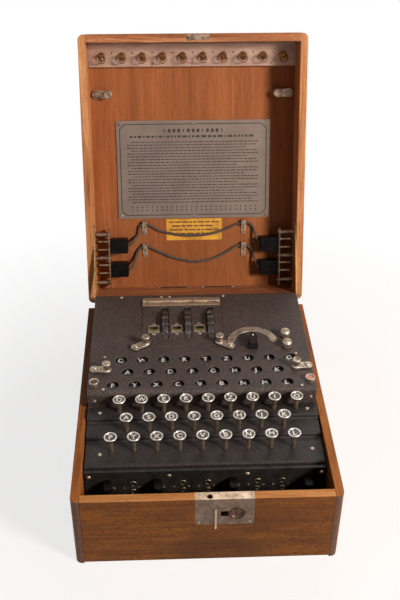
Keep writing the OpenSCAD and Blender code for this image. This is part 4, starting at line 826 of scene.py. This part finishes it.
bulb_glass = new_finish("bulb_glass", seen(170, 130, 104), 0.05, sockets={"Specular IOR Level": 1.0})
rim_light = add(bulb_glass, "Fresnel", {"IOR": 1.3}).outputs[0]
feed(bulb_glass, "Alpha", add(bulb_glass, "MapRange", {"Value": rim_light, "From Min": 0.0, "From Max": 0.6,
                                                       "To Min": 0.05, "To Max": 0.85}).outputs[0])
cap_brass = old_nickel("cap_brass", seen(236, 198, 132), seen(158, 116, 66), seen(255, 240, 204), 0.26)
BULB_TILT = math.radians(20)
GLOBE_R, GLOBE_UP = 5.6, 15.2
THREAD = [(4.8 - 0.45 * (k % 2), 2 + k * 0.7) for k in range(12)]
CAP = [(0, 0), (3.2, 0), (4.8, 1.6), *THREAD, (4.2, 10.4), (4.2, 11.4)]
GLOBE = [(GLOBE_R * math.cos(math.radians(a)), GLOBE_UP + GLOBE_R * math.sin(math.radians(a)))
         for a in range(-42, 91, 12)]
GLASS = [(4.1, 11.0), *GLOBE, (0, 20.8)]

caps, glasses = bmesh.new(), bmesh.new()
for i in range(10):
    foot = LID_FACE @ at((i - 4.5) * BULB_PITCH, BULB_UP, BAR_T / 2) @ Matrix.Rotation(BULB_TILT, 4, "X") @ at(0, 0, -2)
    turned_shape(caps, CAP, foot, 0)
    turned_shape(glasses, GLASS, foot, 0)
close_piece("spare_bulb_caps", caps, [cap_brass], "lid", smooth=True, outward=True)
bulbs = close_piece("spare_bulb_glass", glasses, [bulb_glass], "lid", smooth=True, outward=True)
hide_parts("spare_bulbs")

# ---- Instruction plate ----------------------------------------------------------------------------------------
# An etched metal plate with a ruled border, screwed to the lid's inner face. Plain dashes stand where a printed plate
# has its lines, and have the same uneven lengths in every run.
SIGN_UP, SIGN_W, SIGN_H, SIGN_T = 168.5, 199, 128, 1.2
SIGN_FACE = SIGN_T + INK_LIFT
BORDER_IN, BORDER_W, CORNER_CUT = 4.6, 1.1, 6
LINES, LINE_PITCH, LINE_H, LINE_WORDS = 22, 3.75, 1.25, (1.2, 5.5)
plate_metal = new_finish("plate_metal", seen(124, 108, 98), 0.4, 0.75)
plate_ink = new_finish("plate_ink", seen(34, 28, 24), 0.7)
plate_clouds = noise(plate_metal, sized(plate_metal, (0.03,) * 3), 6, 0.6)
plate_fine = noise(plate_metal, sized(plate_metal, (0.05, 0.0006, 0.0006), (-LID_OPEN, 0, 0)), 3, 0.6)
plate_round, plate_edge = eased(plate_metal, 0.0007)
plate_body = ramp(plate_metal, plate_clouds, (0.3, seen(118, 101, 91)), (0.7, seen(131, 113, 102)))
plate_body = mix(plate_metal, 0.35, plate_body.outputs[0],
                 ramp(plate_metal, plate_fine, (0.3, grey(0.35)), (0.7, grey(0.65))).outputs[0], "OVERLAY")
feed(plate_metal, "Base Color", mix(plate_metal, plate_edge.outputs[0], plate_body, seen(190, 176, 160)))
relief(plate_metal, plate_fine, 0.00002, plate_round)
dress("instruction_plate", [plate_metal])


def bar_at(bm, x, up, width, height, off):
    """A flat dash on the lid's face"""
    bmesh.ops.create_grid(bm, x_segments=1, y_segments=1, size=0.5,
                          matrix=LID_FACE @ at(x, up, off) @ Matrix.Diagonal((width * MM, height * MM, 1, 1)))


def dashes(bm, left, right, up, height, off, words, rng):
    """One line of plain dashes of uneven length, as printed lines look from afar"""
    x = left
    while x < right - 2:
        width = min(rng.uniform(*words), right - x)
        bar_at(bm, x + width / 2, up, width, height, off)
        x += width + height * 0.8


chance = random.Random(7)
bm = bmesh.new()
half_w, half_h = SIGN_W / 2 - BORDER_IN, SIGN_H / 2 - BORDER_IN
for side in (-1, 1):
    bar_at(bm, 0, SIGN_UP + side * half_h, 2 * (half_w - CORNER_CUT), BORDER_W, SIGN_FACE)
    bar_at(bm, side * half_w, SIGN_UP, BORDER_W, 2 * (half_h - CORNER_CUT), SIGN_FACE)
    for end in (-1, 1):
        corner = at(side * (half_w - CORNER_CUT / 2), SIGN_UP + end * (half_h - CORNER_CUT / 2), SIGN_FACE)
        bmesh.ops.create_grid(bm, x_segments=1, y_segments=1, size=0.5, matrix=LID_FACE @ corner
                              @ Matrix.Rotation(-side * end * math.pi / 4, 4, "Z")
                              @ Matrix.Diagonal((CORNER_CUT * math.sqrt(2) * MM, BORDER_W * MM, 1, 1)))
for column in range(13):
    bar_at(bm, (column - 6) * 6.2, SIGN_UP + 51, 3.6 if column % 4 else 1.4, 4.4, SIGN_FACE)
dashes(bm, -82, 82, SIGN_UP + 43.5, 2.6, SIGN_FACE, (1.6, 7), chance)
for line in range(LINES):
    inset = 0 if line % 3 else 5
    shorter = chance.uniform(0, 30 if line % 3 == 2 else 2)
    dashes(bm, -86 + inset, 86 - shorter, SIGN_UP + 36.5 - line * LINE_PITCH, LINE_H, SIGN_FACE, LINE_WORDS, chance)
for row in (-48.5, -53):
    for column in range(26):
        bar_at(bm, -81 + column * 6.5, SIGN_UP + row, 1.5, 2, SIGN_FACE)
close_piece("plate_rules", bm, [plate_ink], "lid")

# ---- Yellow card ----------------------------------------------------------------------------------------------
# A small yellow card is pasted to the lid under the plate, with a few dashes printed on it. The upper cord crosses
# its foot.
CARD_UP, CARD_W, CARD_H, CARD_T = 88.9, 74, 29, 0.25
card_yellow = mottled("yellow_card", seen(214, 150, 40), 0.6, 0.012, 6, (0.3, seen(172, 112, 26)),
                      (0.65, seen(226, 164, 50)), grain_rough=0.65)
card_ink = new_finish("card_ink", seen(92, 58, 22), 0.7)
bm = bmesh.new()
bmesh.ops.create_cube(bm, size=1, matrix=LID_FACE @ at(0, CARD_UP, CARD_T / 2)
                      @ Matrix.Diagonal((CARD_W * MM, CARD_H * MM, CARD_T * MM, 1)))
bmesh.ops.bevel(bm, geom=bm.edges[:], affect="EDGES", offset=0.08 * MM, segments=2, profile=0.5, material=-1)
close_piece("yellow_card", bm, [card_yellow], "lid")
bm = bmesh.new()
for line in range(4):
    dashes(bm, -33 + (line % 2) * 4, 33 - (line % 2) * 5, CARD_UP + 10 - line * 5.2, 2.0, CARD_T + INK_LIFT, (3, 11),
           chance)
close_piece("card_print", bm, [card_ink], "lid")

# ---- Plug racks -----------------------------------------------------------------------------------------------
# Two drilled nickel strips on posts along the lid's sides hold the four plugs of the spare cords by their pins. The
# plugs' mouldings end short of the strips.
PLUG_END_X = 111.05
rack_nickel = old_nickel("rack_nickel", seen(140, 112, 92), seen(84, 60, 46), seen(200, 178, 156), 0.42)
dress("plug_racks", [rack_nickel])
dress("patch_plugs", [plug_moulding, pin_brass], lambda spot, facing: 1 if abs(spot.x) > PLUG_END_X else 0)
